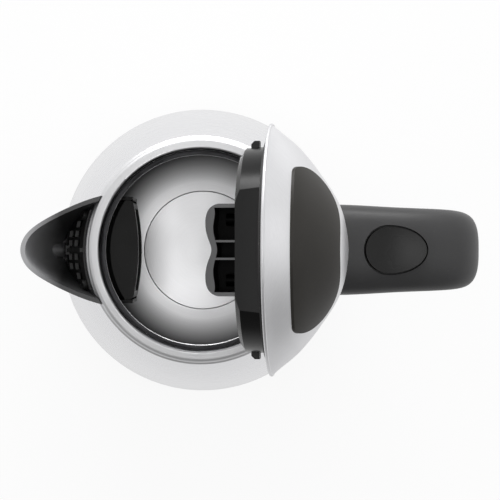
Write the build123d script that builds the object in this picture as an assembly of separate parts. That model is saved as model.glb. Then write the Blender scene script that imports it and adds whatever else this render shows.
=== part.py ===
from build123d import *
import os
from functools import lru_cache
from math import atan2, cos, degrees, hypot, pi, radians, sin, sqrt

# Electric kettle on its power base.
# Millimetres, +Z up, +X towards the handle, origin on the kettle's axis at the table.
# The lid is built shut and then turned open about its hinge.

# ---------------------------------------------------------------- clearances
FIT = 0.05            # running fit, radial, pin in bore
GAP = 0.3             # between pieces that move past each other
SEAT = 0.02           # between pieces of one body that are pushed together
HEAD_SEAT = 0.08      # under a flat screw head on the vessel's curved inside

# ---------------------------------------------------------------- power base
BASE_RADIUS = 74.0
BASE_HEIGHT = 20.0
BASE_WALL = 2.3
BASE_FLOOR_Z = 2.0
BASE_EDGE_RADIUS = 6.0
FOOT_OUTER_RADIUS = 66.0
FOOT_INNER_RADIUS = 59.0
FOOT_GROOVE = 1.0
BASE_SCREW_CIRCLE = 48.0
BASE_SCREW_COUNT = 3
HUB_RADIUS = 15.5
HUB_TOP_Z = 28.0
HUB_FLANGE_RADIUS = 20.0
CONTACT_RING_RADII = (5.0, 9.5)
GLAND_RADIUS = 5.0
GLAND_BORE_RADIUS = 3.5
GLAND_Z = 11.0

# ---------------------------------------------------------------- vessel
BODY_RADIUS = 82.5
BODY_WIDEST_Z = 45.0
BODY_CURVE_HEIGHT = 164.0
BODY_BOTTOM_Z = 26.0
BODY_TOP_Z = 159.5
BODY_WALL = 0.8
RIM_Z = 165.0
RIM_OUTER_RADIUS = 57.9
RIM_INNER_RADIUS = 51.5
RIM_FALL = 0.7
RIM_DROP = 3.2
RIM_INNER_ROUND = 1.6
RIM_OUTER_ROUND = 2.4
NECK_BEAD_RADIUS = 49.2
NECK_BEAD_Z = 155.6
NECK_BOTTOM_Z = 150.0
RING_WALL = 1.2
FLOOR_Z = 46.0
FLOOR_WALL = 1.0
FLOOR_DISC_RADIUS = 35.0
FLOOR_DISC_STEP = 0.8
FLOOR_BEND = 10.0
SPREADER_RADIUS = 56.0
SPREADER_WALL = 3.0
ELEMENT_RADIUS = 44.0
ELEMENT_WIRE = 4.0
ELEMENT_GAP_ANGLE = 25.0

# ---------------------------------------------------------------- under the vessel
COVER_WALL = 2.2
COVER_LIP = 6.0
COVER_CORNER = 4.0
SEAL_THICKNESS = 1.1
POST_CIRCLE = 64.0
POST_RADIUS = 4.0
POST_COUNT = 3
CONTROL_RADIUS = 18.6
CONTROL_FLANGE_RADIUS = 29.0
CONTROL_TOP_Z = 39.0
SOCKET_CLEARANCE = 0.6
DISC_RADIUS = 7.0

# ---------------------------------------------------------------- spout and filter
SPOUT_TIP_X = -92.5
SPOUT_HALF_WIDTH = 27.6
SPOUT_TOP_Z = 163.6
SPOUT_ROOT_Z = 112.0
SPOUT_ROOT_WIDTH = 0.62
SPOUT_WALL = 2.4
GASKET_WALL = 1.0
WINDOW_HALF_WIDTH = 20.8
WINDOW_HEIGHT = 33.0
WINDOW_TOP_Z = 157.0
GRILLE_WALL = 1.6
FILTER_INNER_X = -33.0
FILTER_OUTER_RADIUS = 47.6
FILTER_HALF_WIDTH = 26.0
FILTER_TOP_Z = 147.0
FILTER_BOTTOM_Z = 112.0
FILTER_WALL = 1.8
SPOUT_SCREW_Z = 119.5
SMALL_SHANK_RADIUS = 1.2
SMALL_HOLE_RADIUS = 1.3
LOOP_RADIUS = 2.6

# ---------------------------------------------------------------- lid, shut
LID_Z = 165.9
LID_RADIUS = 58.7
LID_WALL = 0.8
LID_PROFILE = [(58.7, 0.0), (57.1, 1.7), (48.0, 12.4), (39.4, 19.6), (29.5, 26.7),
               (19.8, 32.0), (9.3, 34.7), (0.0, 35.6)]
LID_NOTCH_HALF = 23.0
LID_NOTCH_X = 44.0
PAD_WALL = 0.9
PAD_FRONT_RADIUS = 49.0
PAD_CORNER_Y = 34.6
DECK_LOW = 0.6
DECK_WALL = 1.8
DECK_RADIUS = 55.3
PLUG_RADIUS = 48.2
PLUG_END_RADIUS = 47.4
PLUG_FRONT = 39.3
PLUG_DEPTH = 13.4
PLUG_CHAMFER = 3.0
PLUG_WALL = 2.0
SEAL_OUTER_RADIUS = 53.6
SCOOP_HALF_WIDTH = 21.0
SCOOP_DEPTH = 15.4
SCOOP_FRONT = 20.0
SCOOP_REAR = 0.0
SCOOP_WALL = 1.8
LID_OPEN_ANGLE = 83.5

# ---------------------------------------------------------------- hinge and catches
HINGE_X = 52.0
HINGE_Z = 177.9
HINGE_PIN_RADIUS = 1.6
BARREL_RADIUS = 4.3
BARREL_HALF = 10.5
EAR_INNER = 15.2
EAR_WALL = 3.5
EAR_RADIUS = 5.0
CATCH_TRAVEL = 2.5
SLIDER_TRAVEL = 3.0
SLIDER_WALL = 1.6
CATCH_HALF_WIDTH = 4.0
CATCH_TIP_RADIUS = 50.8

# ---------------------------------------------------------------- handle
HANDLE_WALL = 2.3
HANDLE_POWER = 2.9
HANDLE_PATH = [  # x, z, direction of travel, half width, half thickness
    (58.8, 167.0, 0.0, 22.6, 15.0),
    (75.0, 163.4, -2.0, 23.0, 14.9),
    (95.0, 162.4, -3.0, 22.0, 14.6),
    (114.5, 160.6, -13.0, 21.2, 13.5),
    (129.5, 152.6, -44.0, 20.5, 12.8),
    (135.2, 136.0, -82.0, 19.0, 11.7),
    (130.8, 112.0, -103.0, 17.4, 10.6),
    (119.6, 85.5, -116.0, 16.5, 10.6),
    (102.5, 62.5, -132.0, 16.4, 11.6),
    (86.5, 49.5, -150.0, 17.0, 12.8),
    (72.0, 43.0, -162.0, 17.0, 13.2),
]
BUTTON_X = 95.0
BUTTON_HALF_WIDTH = 11.6
BUTTON_NOSE = 19.2
BUTTON_GROOVE = 1.1
BUTTON_TOP_Z = 178.2
BUTTON_DISH = 1.7
BUTTON_FLANGE = 1.8
BUTTON_FLANGE_Z = 168.8
BUTTON_SPRING_X = 92.0
BUTTON_SPRING_Y = -9.0
BUTTON_SPRING_LOW = 158.0
ROD_HALF_WIDTH = 3.0
ROD_NOSE_X = 58.3
ROD_STEP_X = 78.0
ROD_TAIL_X = 107.0
ROD_NOSE_LOW = 168.2
ROD_NOSE_HIGH = 171.0
ROD_TAIL_LOW = 157.0
ROD_TAIL_HIGH = 165.0
MOUNT_REAR_X = 72.0
MOUNT_SCREW_Z = 156.5
MOUNT_SCREW_ANGLE = 4.5
GRIP_SCREW_HEIGHTS = (84.0, 118.0)
STEAM_TUBE_RADIUS = 2.5
STEAM_TUBE_BORE = 1.5
STEAM_Y = 12.0
STEAM_Z = 155.5
BRACKET_SCREW_X = 92.0
SWITCH_X = 100.0
SWITCH_Z = 62.5
SWITCH_REACH = 24.0
SWITCH_HALF_WIDTH = 7.0
SWITCH_REST_ANGLE = 34.0
SWITCH_SWING = 16.0
SWITCH_PIN_RADIUS = 1.2
LENS_Z = 75.0
LENS_RADIUS = 2.4


# ================================================================ helpers
def tube(outer, inner, low, high):
    """Upright ring of rectangular section."""
    ring = Pos(0, 0, (low + high) / 2) * Cylinder(outer, high - low)
    if inner > 0:
        ring -= Pos(0, 0, (low + high) / 2) * Cylinder(inner, high - low + 2)
    return ring


def disc(radius, low, high):
    """Upright solid cylinder on the axis."""
    return tube(radius, 0, low, high)


def block(x0, x1, y0, y1, z0, z1):
    """Box between two corners."""
    centre = Pos((x0 + x1) / 2, (y0 + y1) / 2, (z0 + z1) / 2)
    return centre * Box(x1 - x0, y1 - y0, z1 - z0)


def rod_x(radius, x0, x1, y, z):
    """Round bar along X."""
    return Pos((x0 + x1) / 2, y, z) * Rot(0, 90, 0) * Cylinder(radius, x1 - x0)


def rod_y(radius, y0, y1, x, z):
    """Round bar along Y."""
    return Pos(x, (y0 + y1) / 2, z) * Rot(90, 0, 0) * Cylinder(radius, y1 - y0)


def rod_z(radius, z0, z1, x, y):
    """Round bar along Z."""
    return Pos(x, y, (z0 + z1) / 2) * Cylinder(radius, z1 - z0)


def turned(points):
    """Solid of revolution about Z from a closed outline of (radius, height)."""
    outline = Polyline(*[(r, 0, z) for r, z in points], close=True)
    return revolve(make_face(outline), Axis.Z)


def turned_curve(curve_points, closing_points):
    """Solid of revolution whose outline starts with a smooth curve."""
    curve = Spline(*[(r, 0, z) for r, z in curve_points])
    rest = [curve @ 1] + [(r, 0, z) for r, z in closing_points] + [curve @ 0]
    return revolve(make_face(curve + Polyline(*rest)), Axis.Z)


def around(count, start=0.0):
    """Places spaced evenly about Z."""
    return [Rot(0, 0, start + 360.0 * index / count) for index in range(count)]


def coil(radius, wire, length, turns):
    """Compression spring standing on the origin along Z."""
    rise = length - 2 * wire
    path = Helix(rise / turns, rise, radius, center=(0, 0, wire))
    start = Plane(path @ 0, z_dir=path % 0)
    return sweep(start * Circle(wire), path)


def screw(head_radius, head_height, shank_radius, length):
    """Pan head screw, head on the origin facing -Z, shank along +Z."""
    head = Pos(0, 0, -head_height / 2) * Cylinder(head_radius, head_height)
    shank = Pos(0, 0, length / 2) * Cylinder(shank_radius, length)
    slot = Pos(0, 0, -head_height) * Box(head_radius * 1.2, 0.7, head_height)
    cross = Pos(0, 0, -head_height) * Box(0.7, head_radius * 1.2, head_height)
    return head + shank - slot - cross


# ================================================================ shared shapes
def body_radius_at(z):
    """Outer radius of the vessel at a height."""
    share = (z - BODY_WIDEST_Z) / BODY_CURVE_HEIGHT
    return BODY_RADIUS * sqrt(max(0.0, 1 - share * share))


def body_point(z, offset):
    """Point on the vessel's side moved outwards along its normal."""
    radius = body_radius_at(z)
    slope_r = radius / BODY_RADIUS ** 2
    slope_z = (z - BODY_WIDEST_Z) / BODY_CURVE_HEIGHT ** 2
    size = hypot(slope_r, slope_z)
    return (radius + offset * slope_r / size, z + offset * slope_z / size)


def body_tilt(z):
    """Angle of the vessel's outward normal above level, in degrees."""
    near = body_point(z, 0)
    far = body_point(z, 1)
    return degrees(atan2(far[1] - near[1], far[0] - near[0]))


def wall_place(z, angle, offset):
    """Frame on the vessel's side at an angle about Z, its Z pointing outwards."""
    radius, height = body_point(z, offset)
    return Rot(0, 0, angle) * Pos(radius, 0, height) * Rot(0, 90 - body_tilt(z), 0)


@lru_cache(maxsize=None)
def body_solid(offset, low=BODY_BOTTOM_Z, high=172.0):
    """The vessel's outside as a solid, grown by an offset."""
    steps = 9
    heights = [low + (high - low) * index / (steps - 1) for index in range(steps)]
    curve = [body_point(z, offset) for z in heights]
    top = curve[-1][1]
    bottom = curve[0][1]
    return turned_curve(curve, [(0.0, top), (0.0, bottom)])


def inner_radius_at(z):
    """Radius of the vessel's inside at a height, near enough for seats."""
    return body_point(z, -BODY_WALL)[0]


def window_solid(grow=0.0):
    """Cutter for the pouring window under the rim on the spout side."""
    arc = EllipticalCenterArc((0, 0), WINDOW_HALF_WIDTH + grow, WINDOW_HEIGHT + grow,
                              start_angle=180, arc_size=180)
    chord = Line(arc @ 1, arc @ 0)
    plane = Plane(origin=(-40, 0, WINDOW_TOP_Z), x_dir=(0, -1, 0), z_dir=(-1, 0, 0))
    opening = extrude(plane * make_face(arc + chord), 50)
    return opening & spout_block(SPOUT_WALL + 0.6 - grow, SPOUT_ROOT_Z, SPOUT_TOP_Z)


def lid_solid(offset):
    """The lid's dome as a solid with its wall moved by an offset."""
    points = []
    last = len(LID_PROFILE) - 1
    for index, (r, h) in enumerate(LID_PROFILE):
        before = LID_PROFILE[max(0, index - 1)]
        after = LID_PROFILE[min(last, index + 1)]
        run_r = after[0] - before[0]
        run_h = after[1] - before[1]
        size = hypot(run_r, run_h)
        points.append((r + offset * run_h / size, h - offset * run_r / size))
    points[-1] = (0.0, LID_PROFILE[-1][1] + offset)
    low = min(h for r, h in points)
    base = [(0.0, low), (points[0][0], low)] if points[0][1] > low else [(0.0, low)]
    return Pos(0, 0, LID_Z) * turned_curve(points, base)


def opened(shape):
    """Turn a lid piece from shut to open about the hinge."""
    return shape.rotate(Axis((HINGE_X, 0, HINGE_Z), (0, 1, 0)), LID_OPEN_ANGLE)


def lid_block(x0, x1, y0, y1, h0, h1):
    """Box in the shut lid, heights counted from the lid's edge."""
    return block(x0, x1, y0, y1, LID_Z + h0, LID_Z + h1)


def egg(half_width, nose, low, high):
    """Egg-shaped prism for the button, blunt end towards the lid."""
    blunt = CenterArc((BUTTON_X, 0), half_width, 90, 180)
    tail = EllipticalCenterArc((BUTTON_X, 0), nose, half_width, start_angle=-90, arc_size=180)
    face = make_face(blunt + tail)
    return Pos(0, 0, low) * extrude(face, high - low)


# ================================================================ power base
def base_screw_places():
    return [place * Pos(BASE_SCREW_CIRCLE, 0, 0) for place in around(BASE_SCREW_COUNT, 60)]


def make_base_bottom():
    plate = disc(BASE_RADIUS - BASE_WALL - SEAT, BASE_FLOOR_Z, BASE_FLOOR_Z + 2.2)
    plate += tube(BASE_RADIUS - BASE_WALL - SEAT, BASE_RADIUS - 2 * BASE_WALL,
                  BASE_FLOOR_Z, BASE_FLOOR_Z + 4.5)
    plate -= tube(FOOT_OUTER_RADIUS + SEAT, FOOT_INNER_RADIUS - SEAT,
                  BASE_FLOOR_Z - 1, BASE_FLOOR_Z + FOOT_GROOVE)
    for place in base_screw_places():
        plate -= place * rod_z(1.7, 0, 10, 0, 0)
        plate -= place * rod_z(3.2, BASE_FLOOR_Z - 1, BASE_FLOOR_Z + 1.0, 0, 0)
    plate -= rod_x(GLAND_RADIUS + SEAT, 60, 80, 0, GLAND_Z)
    return plate


def make_base_foot_ring():
    return tube(FOOT_OUTER_RADIUS, FOOT_INNER_RADIUS, 0, BASE_FLOOR_Z + FOOT_GROOVE)


def make_base_top():
    edge = BASE_EDGE_RADIUS
    shell = disc(BASE_RADIUS, BASE_FLOOR_Z + 0.4, BASE_HEIGHT)
    shell = fillet(shell.edges().group_by(Axis.Z)[-1], edge)
    hollow = disc(BASE_RADIUS - BASE_WALL, BASE_FLOOR_Z - 1, BASE_HEIGHT - BASE_WALL)
    hollow = fillet(hollow.edges().group_by(Axis.Z)[-1], edge - BASE_WALL)
    shell -= hollow
    shell -= disc(HUB_RADIUS + SEAT, 0, BASE_HEIGHT + 1)
    shell -= rod_x(GLAND_RADIUS + SEAT, 60, 80, 0, GLAND_Z)
    for place in base_screw_places():
        shell += place * rod_z(4.0, BASE_FLOOR_Z + 2.3, BASE_HEIGHT - BASE_WALL, 0, 0)
        shell -= place * rod_z(1.55, BASE_FLOOR_Z, 14, 0, 0)
    return shell


def make_base_hub():
    hub = disc(HUB_RADIUS, 5.0, HUB_TOP_Z)
    hub = fillet(hub.edges().group_by(Axis.Z)[-1], 1.2)
    hub += disc(HUB_FLANGE_RADIUS, BASE_HEIGHT - BASE_WALL - 2.5, BASE_HEIGHT - BASE_WALL)
    hub -= disc(2.4, 12, HUB_TOP_Z + 1)
    for radius in CONTACT_RING_RADII:
        hub -= tube(radius + 1.5, radius - 0.2, 12, HUB_TOP_Z + 1)
    return hub


def make_base_contacts():
    pieces = [tube(2.38, 1.3, 12, 25)]
    for radius in CONTACT_RING_RADII:
        pieces.append(tube(radius + 0.2, radius - 0.18, 12, 25))
    return Compound(children=pieces)


def make_base_screws():
    body = screw(3.0, 0.9, 1.5, 11.0)
    return Compound(children=[place * Pos(0, 0, BASE_FLOOR_Z + 1.0) * body
                              for place in base_screw_places()])


def make_cord_gland():
    gland = rod_x(GLAND_RADIUS, BASE_RADIUS - 6, BASE_RADIUS + 2, 0, GLAND_Z)
    gland += rod_x(GLAND_RADIUS + 1.2, BASE_RADIUS + 0.2, BASE_RADIUS + 2, 0, GLAND_Z)
    gland -= rod_x(GLAND_BORE_RADIUS, 60, 90, 0, GLAND_Z)
    return gland


# ================================================================ vessel
def make_body_shell():
    shell = body_solid(0, BODY_BOTTOM_Z, BODY_TOP_Z)
    shell -= body_solid(-BODY_WALL, BODY_BOTTOM_Z - 3, BODY_TOP_Z + 4)
    shell -= window_solid()
    shell -= rod_x(STEAM_TUBE_RADIUS + SEAT, 50, 75, STEAM_Y, STEAM_Z)
    for place in mount_screw_places() + [spout_screw_place()]:
        shell -= place * rod_z(SMALL_HOLE_RADIUS, -5, 5, 0, 0)
    return shell


def rim_crown(inset, low):
    """Solid ring inside the rolled rim's skin: a broad top that falls a little outwards."""
    inner = RIM_INNER_RADIUS + inset
    outer = RIM_OUTER_RADIUS - inset
    top = RIM_Z - inset
    section = make_face(Polyline((inner, low), (inner, top), (outer, top - RIM_FALL), (outer, low), close=True))
    corners = section.vertices().sort_by(Axis.Y)[-2:].sort_by(Axis.X)
    section = fillet(corners[0], RIM_INNER_ROUND - inset)
    corners = section.vertices().filter_by(lambda v: v.Y > low + 0.1).sort_by(Axis.X)
    section = fillet(corners[-1], RIM_OUTER_ROUND - inset)
    return revolve(Plane.XZ * section, Axis.Z)


def make_rim_ring():
    """Rolled rim with the neck and its inner bead, made in one stamping."""
    crown_z = RIM_Z - RIM_DROP
    crown = rim_crown(0, crown_z - 1.2) - rim_crown(RING_WALL, crown_z - 2.4)
    neck_r = RIM_INNER_RADIUS + RING_WALL
    neck = turned([
        (RIM_INNER_RADIUS, crown_z + 0.2), (neck_r, crown_z + 0.2),
        (neck_r, NECK_BEAD_Z - 0.6), (NECK_BEAD_RADIUS + 2.2, NECK_BEAD_Z - 0.6),
        (NECK_BEAD_RADIUS + 1.8, NECK_BOTTOM_Z), (NECK_BEAD_RADIUS + 0.6, NECK_BOTTOM_Z),
        (NECK_BEAD_RADIUS + 0.6, NECK_BEAD_Z - 0.6), (NECK_BEAD_RADIUS, NECK_BEAD_Z - 0.2),
        (NECK_BEAD_RADIUS, NECK_BEAD_Z + 0.2), (NECK_BEAD_RADIUS + 0.4, NECK_BEAD_Z + 0.6),
        (RIM_INNER_RADIUS, NECK_BEAD_Z + 0.6),
    ])
    seat_r = body_point(BODY_TOP_Z - 1.5, -BODY_WALL)[0] - SEAT
    skirt = turned([
        (neck_r - 0.2, crown_z - 2.0), (neck_r - 0.2, crown_z - 0.8),
        (RIM_OUTER_RADIUS - 0.6, crown_z - 0.8), (body_radius_at(BODY_TOP_Z), BODY_TOP_Z + SEAT),
        (seat_r - 0.8, BODY_TOP_Z + SEAT), (seat_r - 0.8, crown_z - 2.0),
    ])
    return crown + neck + skirt


def make_floor_plate():
    top = FLOOR_Z
    low = FLOOR_Z - FLOOR_DISC_STEP
    wall_r = inner_radius_at(FLOOR_Z + FLOOR_BEND) - SEAT
    bend_r = wall_r - FLOOR_BEND
    flat = turned([
        (0, top - FLOOR_WALL), (FLOOR_DISC_RADIUS - 0.6, top - FLOOR_WALL),
        (FLOOR_DISC_RADIUS, low - FLOOR_WALL), (bend_r, low - FLOOR_WALL),
        (bend_r, low), (FLOOR_DISC_RADIUS + 0.6, low), (FLOOR_DISC_RADIUS, top), (0, top),
    ])
    bend = revolve(Plane.XZ * Pos(bend_r, low + FLOOR_BEND - FLOOR_WALL) *
                   (Circle(FLOOR_BEND) - Circle(FLOOR_BEND - FLOOR_WALL)), Axis.Z)
    bend -= tube(bend_r, 0, low - 5, low + 40)
    bend -= tube(120, 0, low + FLOOR_BEND - FLOOR_WALL, low + 40)
    collar_z = low + FLOOR_BEND - FLOOR_WALL
    collar = tube(wall_r, wall_r - FLOOR_WALL, collar_z, collar_z + 6)
    plate = flat + bend + collar
    return plate & body_solid(-BODY_WALL - SEAT, 30, 100)


def make_heat_spreader():
    low = FLOOR_Z - FLOOR_DISC_STEP - FLOOR_WALL
    plate = disc(SPREADER_RADIUS, low - SPREADER_WALL, low)
    plate += disc(FLOOR_DISC_RADIUS - 0.8, low, FLOOR_Z - FLOOR_WALL)
    return plate


def element_z():
    return FLOOR_Z - FLOOR_DISC_STEP - FLOOR_WALL - SPREADER_WALL - ELEMENT_WIRE


def make_heating_element():
    path = CenterArc((0, 0, element_z()), ELEMENT_RADIUS, ELEMENT_GAP_ANGLE, 360 - 2 * ELEMENT_GAP_ANGLE)
    start = Plane(path @ 0, z_dir=path % 0)
    return sweep(start * Circle(ELEMENT_WIRE), path)


def make_element_terminals():
    pins = []
    for side in (1, -1):
        turn = Rot(0, 0, side * ELEMENT_GAP_ANGLE)
        pins.append(turn * rod_y(1.6, -8 if side > 0 else 0, 0 if side > 0 else 8,
                                 ELEMENT_RADIUS, element_z()))
    return Compound(children=pins)


def make_control_housing():
    """Thermostat and rotary socket block in the middle of the underside."""
    low = BASE_HEIGHT + 0.6
    ceiling = HUB_TOP_Z + 1.0
    part = disc(CONTROL_RADIUS, low, CONTROL_TOP_Z)
    part += disc(CONTROL_FLANGE_RADIUS, CONTROL_TOP_Z - 6, CONTROL_TOP_Z - 3)
    part -= disc(HUB_RADIUS + SOCKET_CLEARANCE, low - 1, ceiling)
    for side in (1, -1):
        part += rod_z(DISC_RADIUS + 1.0, CONTROL_TOP_Z - 3, CONTROL_TOP_Z + 0.4, side * 10, 0)
    return part


def make_control_contacts():
    top = HUB_TOP_Z + 1.0
    pieces = [rod_z(0.95, 16, top, 0, 0)]
    for radius in CONTACT_RING_RADII:
        pieces.append(tube(radius + 0.9, radius + 0.55, 16, top))
    return Compound(children=pieces)


def make_bimetal_discs():
    low = CONTROL_TOP_Z + 0.4
    discs = [rod_z(DISC_RADIUS, low, low + 0.6, side * 10, 0) for side in (1, -1)]
    return Compound(children=discs)


def post_places():
    return [place * Pos(POST_CIRCLE, 0, 0) for place in around(POST_COUNT, 60)]


def make_cover_posts():
    """Steel posts welded under the floor for the bottom cover's screws."""
    top = FLOOR_Z - FLOOR_DISC_STEP - FLOOR_WALL
    posts = []
    for place in post_places():
        post = rod_z(POST_RADIUS, BASE_HEIGHT + 1 + COVER_WALL + SEAT, top, 0, 0)
        posts.append(place * (post - rod_z(1.55, 10, 36, 0, 0)))
    return Compound(children=posts)


def make_bottom_cover():
    low = BASE_HEIGHT + 0.4
    outer = body_radius_at(BODY_BOTTOM_Z)
    inner = inner_radius_at(BODY_BOTTOM_Z) - SEAT
    pan = disc(outer, low, BODY_BOTTOM_Z - SEAT)
    pan = fillet(pan.edges().group_by(Axis.Z)[0], COVER_CORNER)
    pan += disc(inner, BODY_BOTTOM_Z - 1, BODY_BOTTOM_Z + COVER_LIP)
    pan -= disc(inner - SEAL_THICKNESS - 1.6, low + COVER_WALL, BODY_BOTTOM_Z + COVER_LIP + 1)
    pan -= disc(CONTROL_RADIUS + SEAT, 0, 40)
    groove_r = inner - SEAL_THICKNESS
    pan -= tube(inner + 2, groove_r, BODY_BOTTOM_Z + 2, BODY_BOTTOM_Z + 4)
    for place in post_places():
        pan -= place * rod_z(1.7, 0, 40, 0, 0)
        pan -= place * rod_z(3.3, 0, low + 1.1, 0, 0)
    return pan


def make_bottom_seal():
    inner = inner_radius_at(BODY_BOTTOM_Z) - SEAL_THICKNESS
    outer = inner_radius_at(BODY_BOTTOM_Z + 2) - SEAT
    return tube(outer, inner, BODY_BOTTOM_Z + 2.05, BODY_BOTTOM_Z + 3.95)


def make_bottom_screws():
    body = screw(3.1, 1.0, 1.5, 13.0)
    return Compound(children=[place * Pos(0, 0, BASE_HEIGHT + 0.4 + 1.1) * body
                              for place in post_places()])


# ================================================================ spout and filter
def spout_section(inset, z, share):
    """Plan outline of the trough at a height; share runs from 0 (root) to 1 (top)."""
    top = [(SPOUT_TIP_X, 0), (-89.8, 7.7), (-85.7, 11.8), (-78.6, 16.4), (-68.3, 21.6),
           (-52.0, SPOUT_HALF_WIDTH), (-44.0, SPOUT_HALF_WIDTH + 1.6)]
    root_tip = -body_radius_at(SPOUT_ROOT_Z) - 3.0
    reach = -44.0 - SPOUT_TIP_X
    points = []
    for x, y in top:
        along = (x - SPOUT_TIP_X) / reach
        root_x = root_tip + along * (-50.0 - root_tip)
        root_y = y * SPOUT_ROOT_WIDTH
        px = root_x + (x - root_x) * share
        py = root_y + (y - root_y) * share
        points.append((px, py))
    tip_x = points[0][0] + inset
    scale_y = 1 - inset / points[-1][1]
    end_x = points[-1][0]
    squeeze = (end_x - tip_x) / (end_x - points[0][0])
    upper = [(end_x + (x - end_x) * squeeze, y * scale_y) for x, y in points]
    lower = [(x, -y) for x, y in reversed(upper[1:])]
    curve = Spline(*[(x, y, z) for x, y in lower + upper])
    return make_face(curve + Line(curve @ 1, curve @ 0))


def spout_block(inset, low, high):
    """Trough outline lofted from the vessel's side up to the pouring lip."""
    span = SPOUT_TOP_Z - SPOUT_ROOT_Z
    faces = []
    for index in range(4):
        z = low + (high - low) * index / 3
        share = (z - SPOUT_ROOT_Z) / span
        eased = share ** 0.8 if share > 0 else 0.0
        faces.append(spout_section(inset, z, eased))
    return loft(faces)


def spout_walls():
    outer = spout_block(0, SPOUT_ROOT_Z, SPOUT_TOP_Z)
    inner = spout_block(SPOUT_WALL, SPOUT_ROOT_Z + SPOUT_WALL + 0.6, SPOUT_TOP_Z + 3)
    rim_clear = disc(RIM_OUTER_RADIUS + SEAT, WINDOW_TOP_Z, SPOUT_TOP_Z + 10)
    return outer - inner - rim_clear


def make_spout():
    walls = spout_walls()
    boss = spout_screw_place() * rod_z(4.0, 1, 12, 0, 0)
    walls += boss & spout_block(0.5, SPOUT_ROOT_Z, SPOUT_TOP_Z)
    walls -= spout_screw_place() * rod_z(SMALL_SHANK_RADIUS + FIT, 0, 6.0, 0, 0)
    return largest(walls - body_solid(GASKET_WALL + SEAT))


def make_spout_gasket():
    ring = spout_walls() & (body_solid(GASKET_WALL) - body_solid(SEAT))
    boss = spout_screw_place() * rod_z(4.0, 0, 12, 0, 0)
    ring += boss & (body_solid(GASKET_WALL) - body_solid(SEAT))
    ring -= spout_screw_place() * rod_z(SMALL_HOLE_RADIUS, 0, 6.0, 0, 0)
    return largest(ring)


def largest(shape):
    """The biggest solid of a result, when a cut leaves loose chips."""
    return max(shape.solids(), key=lambda solid: solid.volume)


def grille_slots():
    """Slots in two rows on each side of the middle rib."""
    slots = []
    rows = ((WINDOW_TOP_Z - 10, 3), (WINDOW_TOP_Z - 23, 2))
    for z, count in rows:
        for side in (1, -1):
            for index in range(count):
                y = side * (3.6 + index * 5.0)
                slots.append(block(-90, -40, y - 1.7, y + 1.7, z - 4.5, z + 4.5))
    return slots


def make_spout_grille():
    skin = body_solid(0.6) - body_solid(0.6 - GRILLE_WALL)
    plate = skin & window_solid(-SEAT)
    for slot in grille_slots():
        plate -= slot
    rib_skin = body_solid(2.0) - body_solid(0.4)
    rib = rib_skin & block(-90, -40, -1.0, 1.0, WINDOW_TOP_Z - WINDOW_HEIGHT + 2, WINDOW_TOP_Z - 0.5)
    boss_z = WINDOW_TOP_Z - WINDOW_HEIGHT + 5
    boss = (body_solid(2.6) - body_solid(0.4)) & block(-90, -40, -2.4, 2.4, boss_z - 2.5, boss_z + 2.5)
    grille = plate + rib + boss
    for side in (1, -1):
        place = wall_place(WINDOW_TOP_Z - 4.5, 180 - side * 16.6, 0)
        loop = place * (rod_z(LOOP_RADIUS, 0.2, 2.4, 0, 0) - rod_z(LOOP_RADIUS - 1.1, 0.4, 3, 0, 0))
        grille += loop
    trough = spout_block(SPOUT_WALL + GAP, SPOUT_ROOT_Z, SPOUT_TOP_Z + 2)
    return largest(grille & trough & body_solid(3.0))


def spout_screw_place():
    """On the vessel's inner face, under the window."""
    return wall_place(SPOUT_SCREW_Z, 180, -BODY_WALL - HEAD_SEAT)


def make_spout_screw():
    return spout_screw_place() * screw(2.6, 0.9, SMALL_SHANK_RADIUS, 5.0)


def make_filter_holder():
    """Chute behind the window that the filter drops into."""
    wide = FILTER_HALF_WIDTH + GAP + FILTER_WALL
    low = FILTER_BOTTOM_Z - GAP - FILTER_WALL
    part = block(-76, -36, -wide, wide, low, FILTER_TOP_Z - 3)
    part -= block(-80, -30, -wide + FILTER_WALL, wide - FILTER_WALL,
                  low + FILTER_WALL, FILTER_TOP_Z + 5)
    part = part & body_solid(-BODY_WALL - SEAT)
    return part


def filter_outline(grow=0.0):
    """Plan outline of the filter's cap."""
    outer = sqrt(FILTER_OUTER_RADIUS ** 2 - FILTER_HALF_WIDTH ** 2)
    half = FILTER_HALF_WIDTH
    back = ThreePointArc((-outer, half), (-FILTER_OUTER_RADIUS, 0), (-outer, -half))
    low_side = Line((-outer, -half), (FILTER_INNER_X - 4.5, -half))
    low_corner = ThreePointArc((FILTER_INNER_X - 4.5, -half), (FILTER_INNER_X - 3.1, -half + 0.7),
                               (FILTER_INNER_X - 2.4, -half + 2.1))
    front = ThreePointArc((FILTER_INNER_X - 2.4, -half + 2.1), (FILTER_INNER_X, 0),
                          (FILTER_INNER_X - 2.4, half - 2.1))
    top_corner = ThreePointArc((FILTER_INNER_X - 2.4, half - 2.1), (FILTER_INNER_X - 3.1, half - 0.7),
                               (FILTER_INNER_X - 4.5, half))
    high_side = Line((FILTER_INNER_X - 4.5, half), (-outer, half))
    return make_face(back + low_side + low_corner + front + top_corner + high_side)


def make_filter_frame():
    outline = filter_outline()
    solid = Pos(0, 0, FILTER_BOTTOM_Z) * extrude(outline, FILTER_TOP_Z - FILTER_BOTTOM_Z)
    half = FILTER_HALF_WIDTH
    solid -= block(-60, FILTER_INNER_X - 4.2, -half + 2, half - 2, FILTER_BOTTOM_Z + 2, FILTER_TOP_Z - 3)
    solid -= block(-60, FILTER_INNER_X + 2, -half + 4, half - 4, FILTER_BOTTOM_Z + 4, FILTER_TOP_Z - 6)
    return solid


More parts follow.
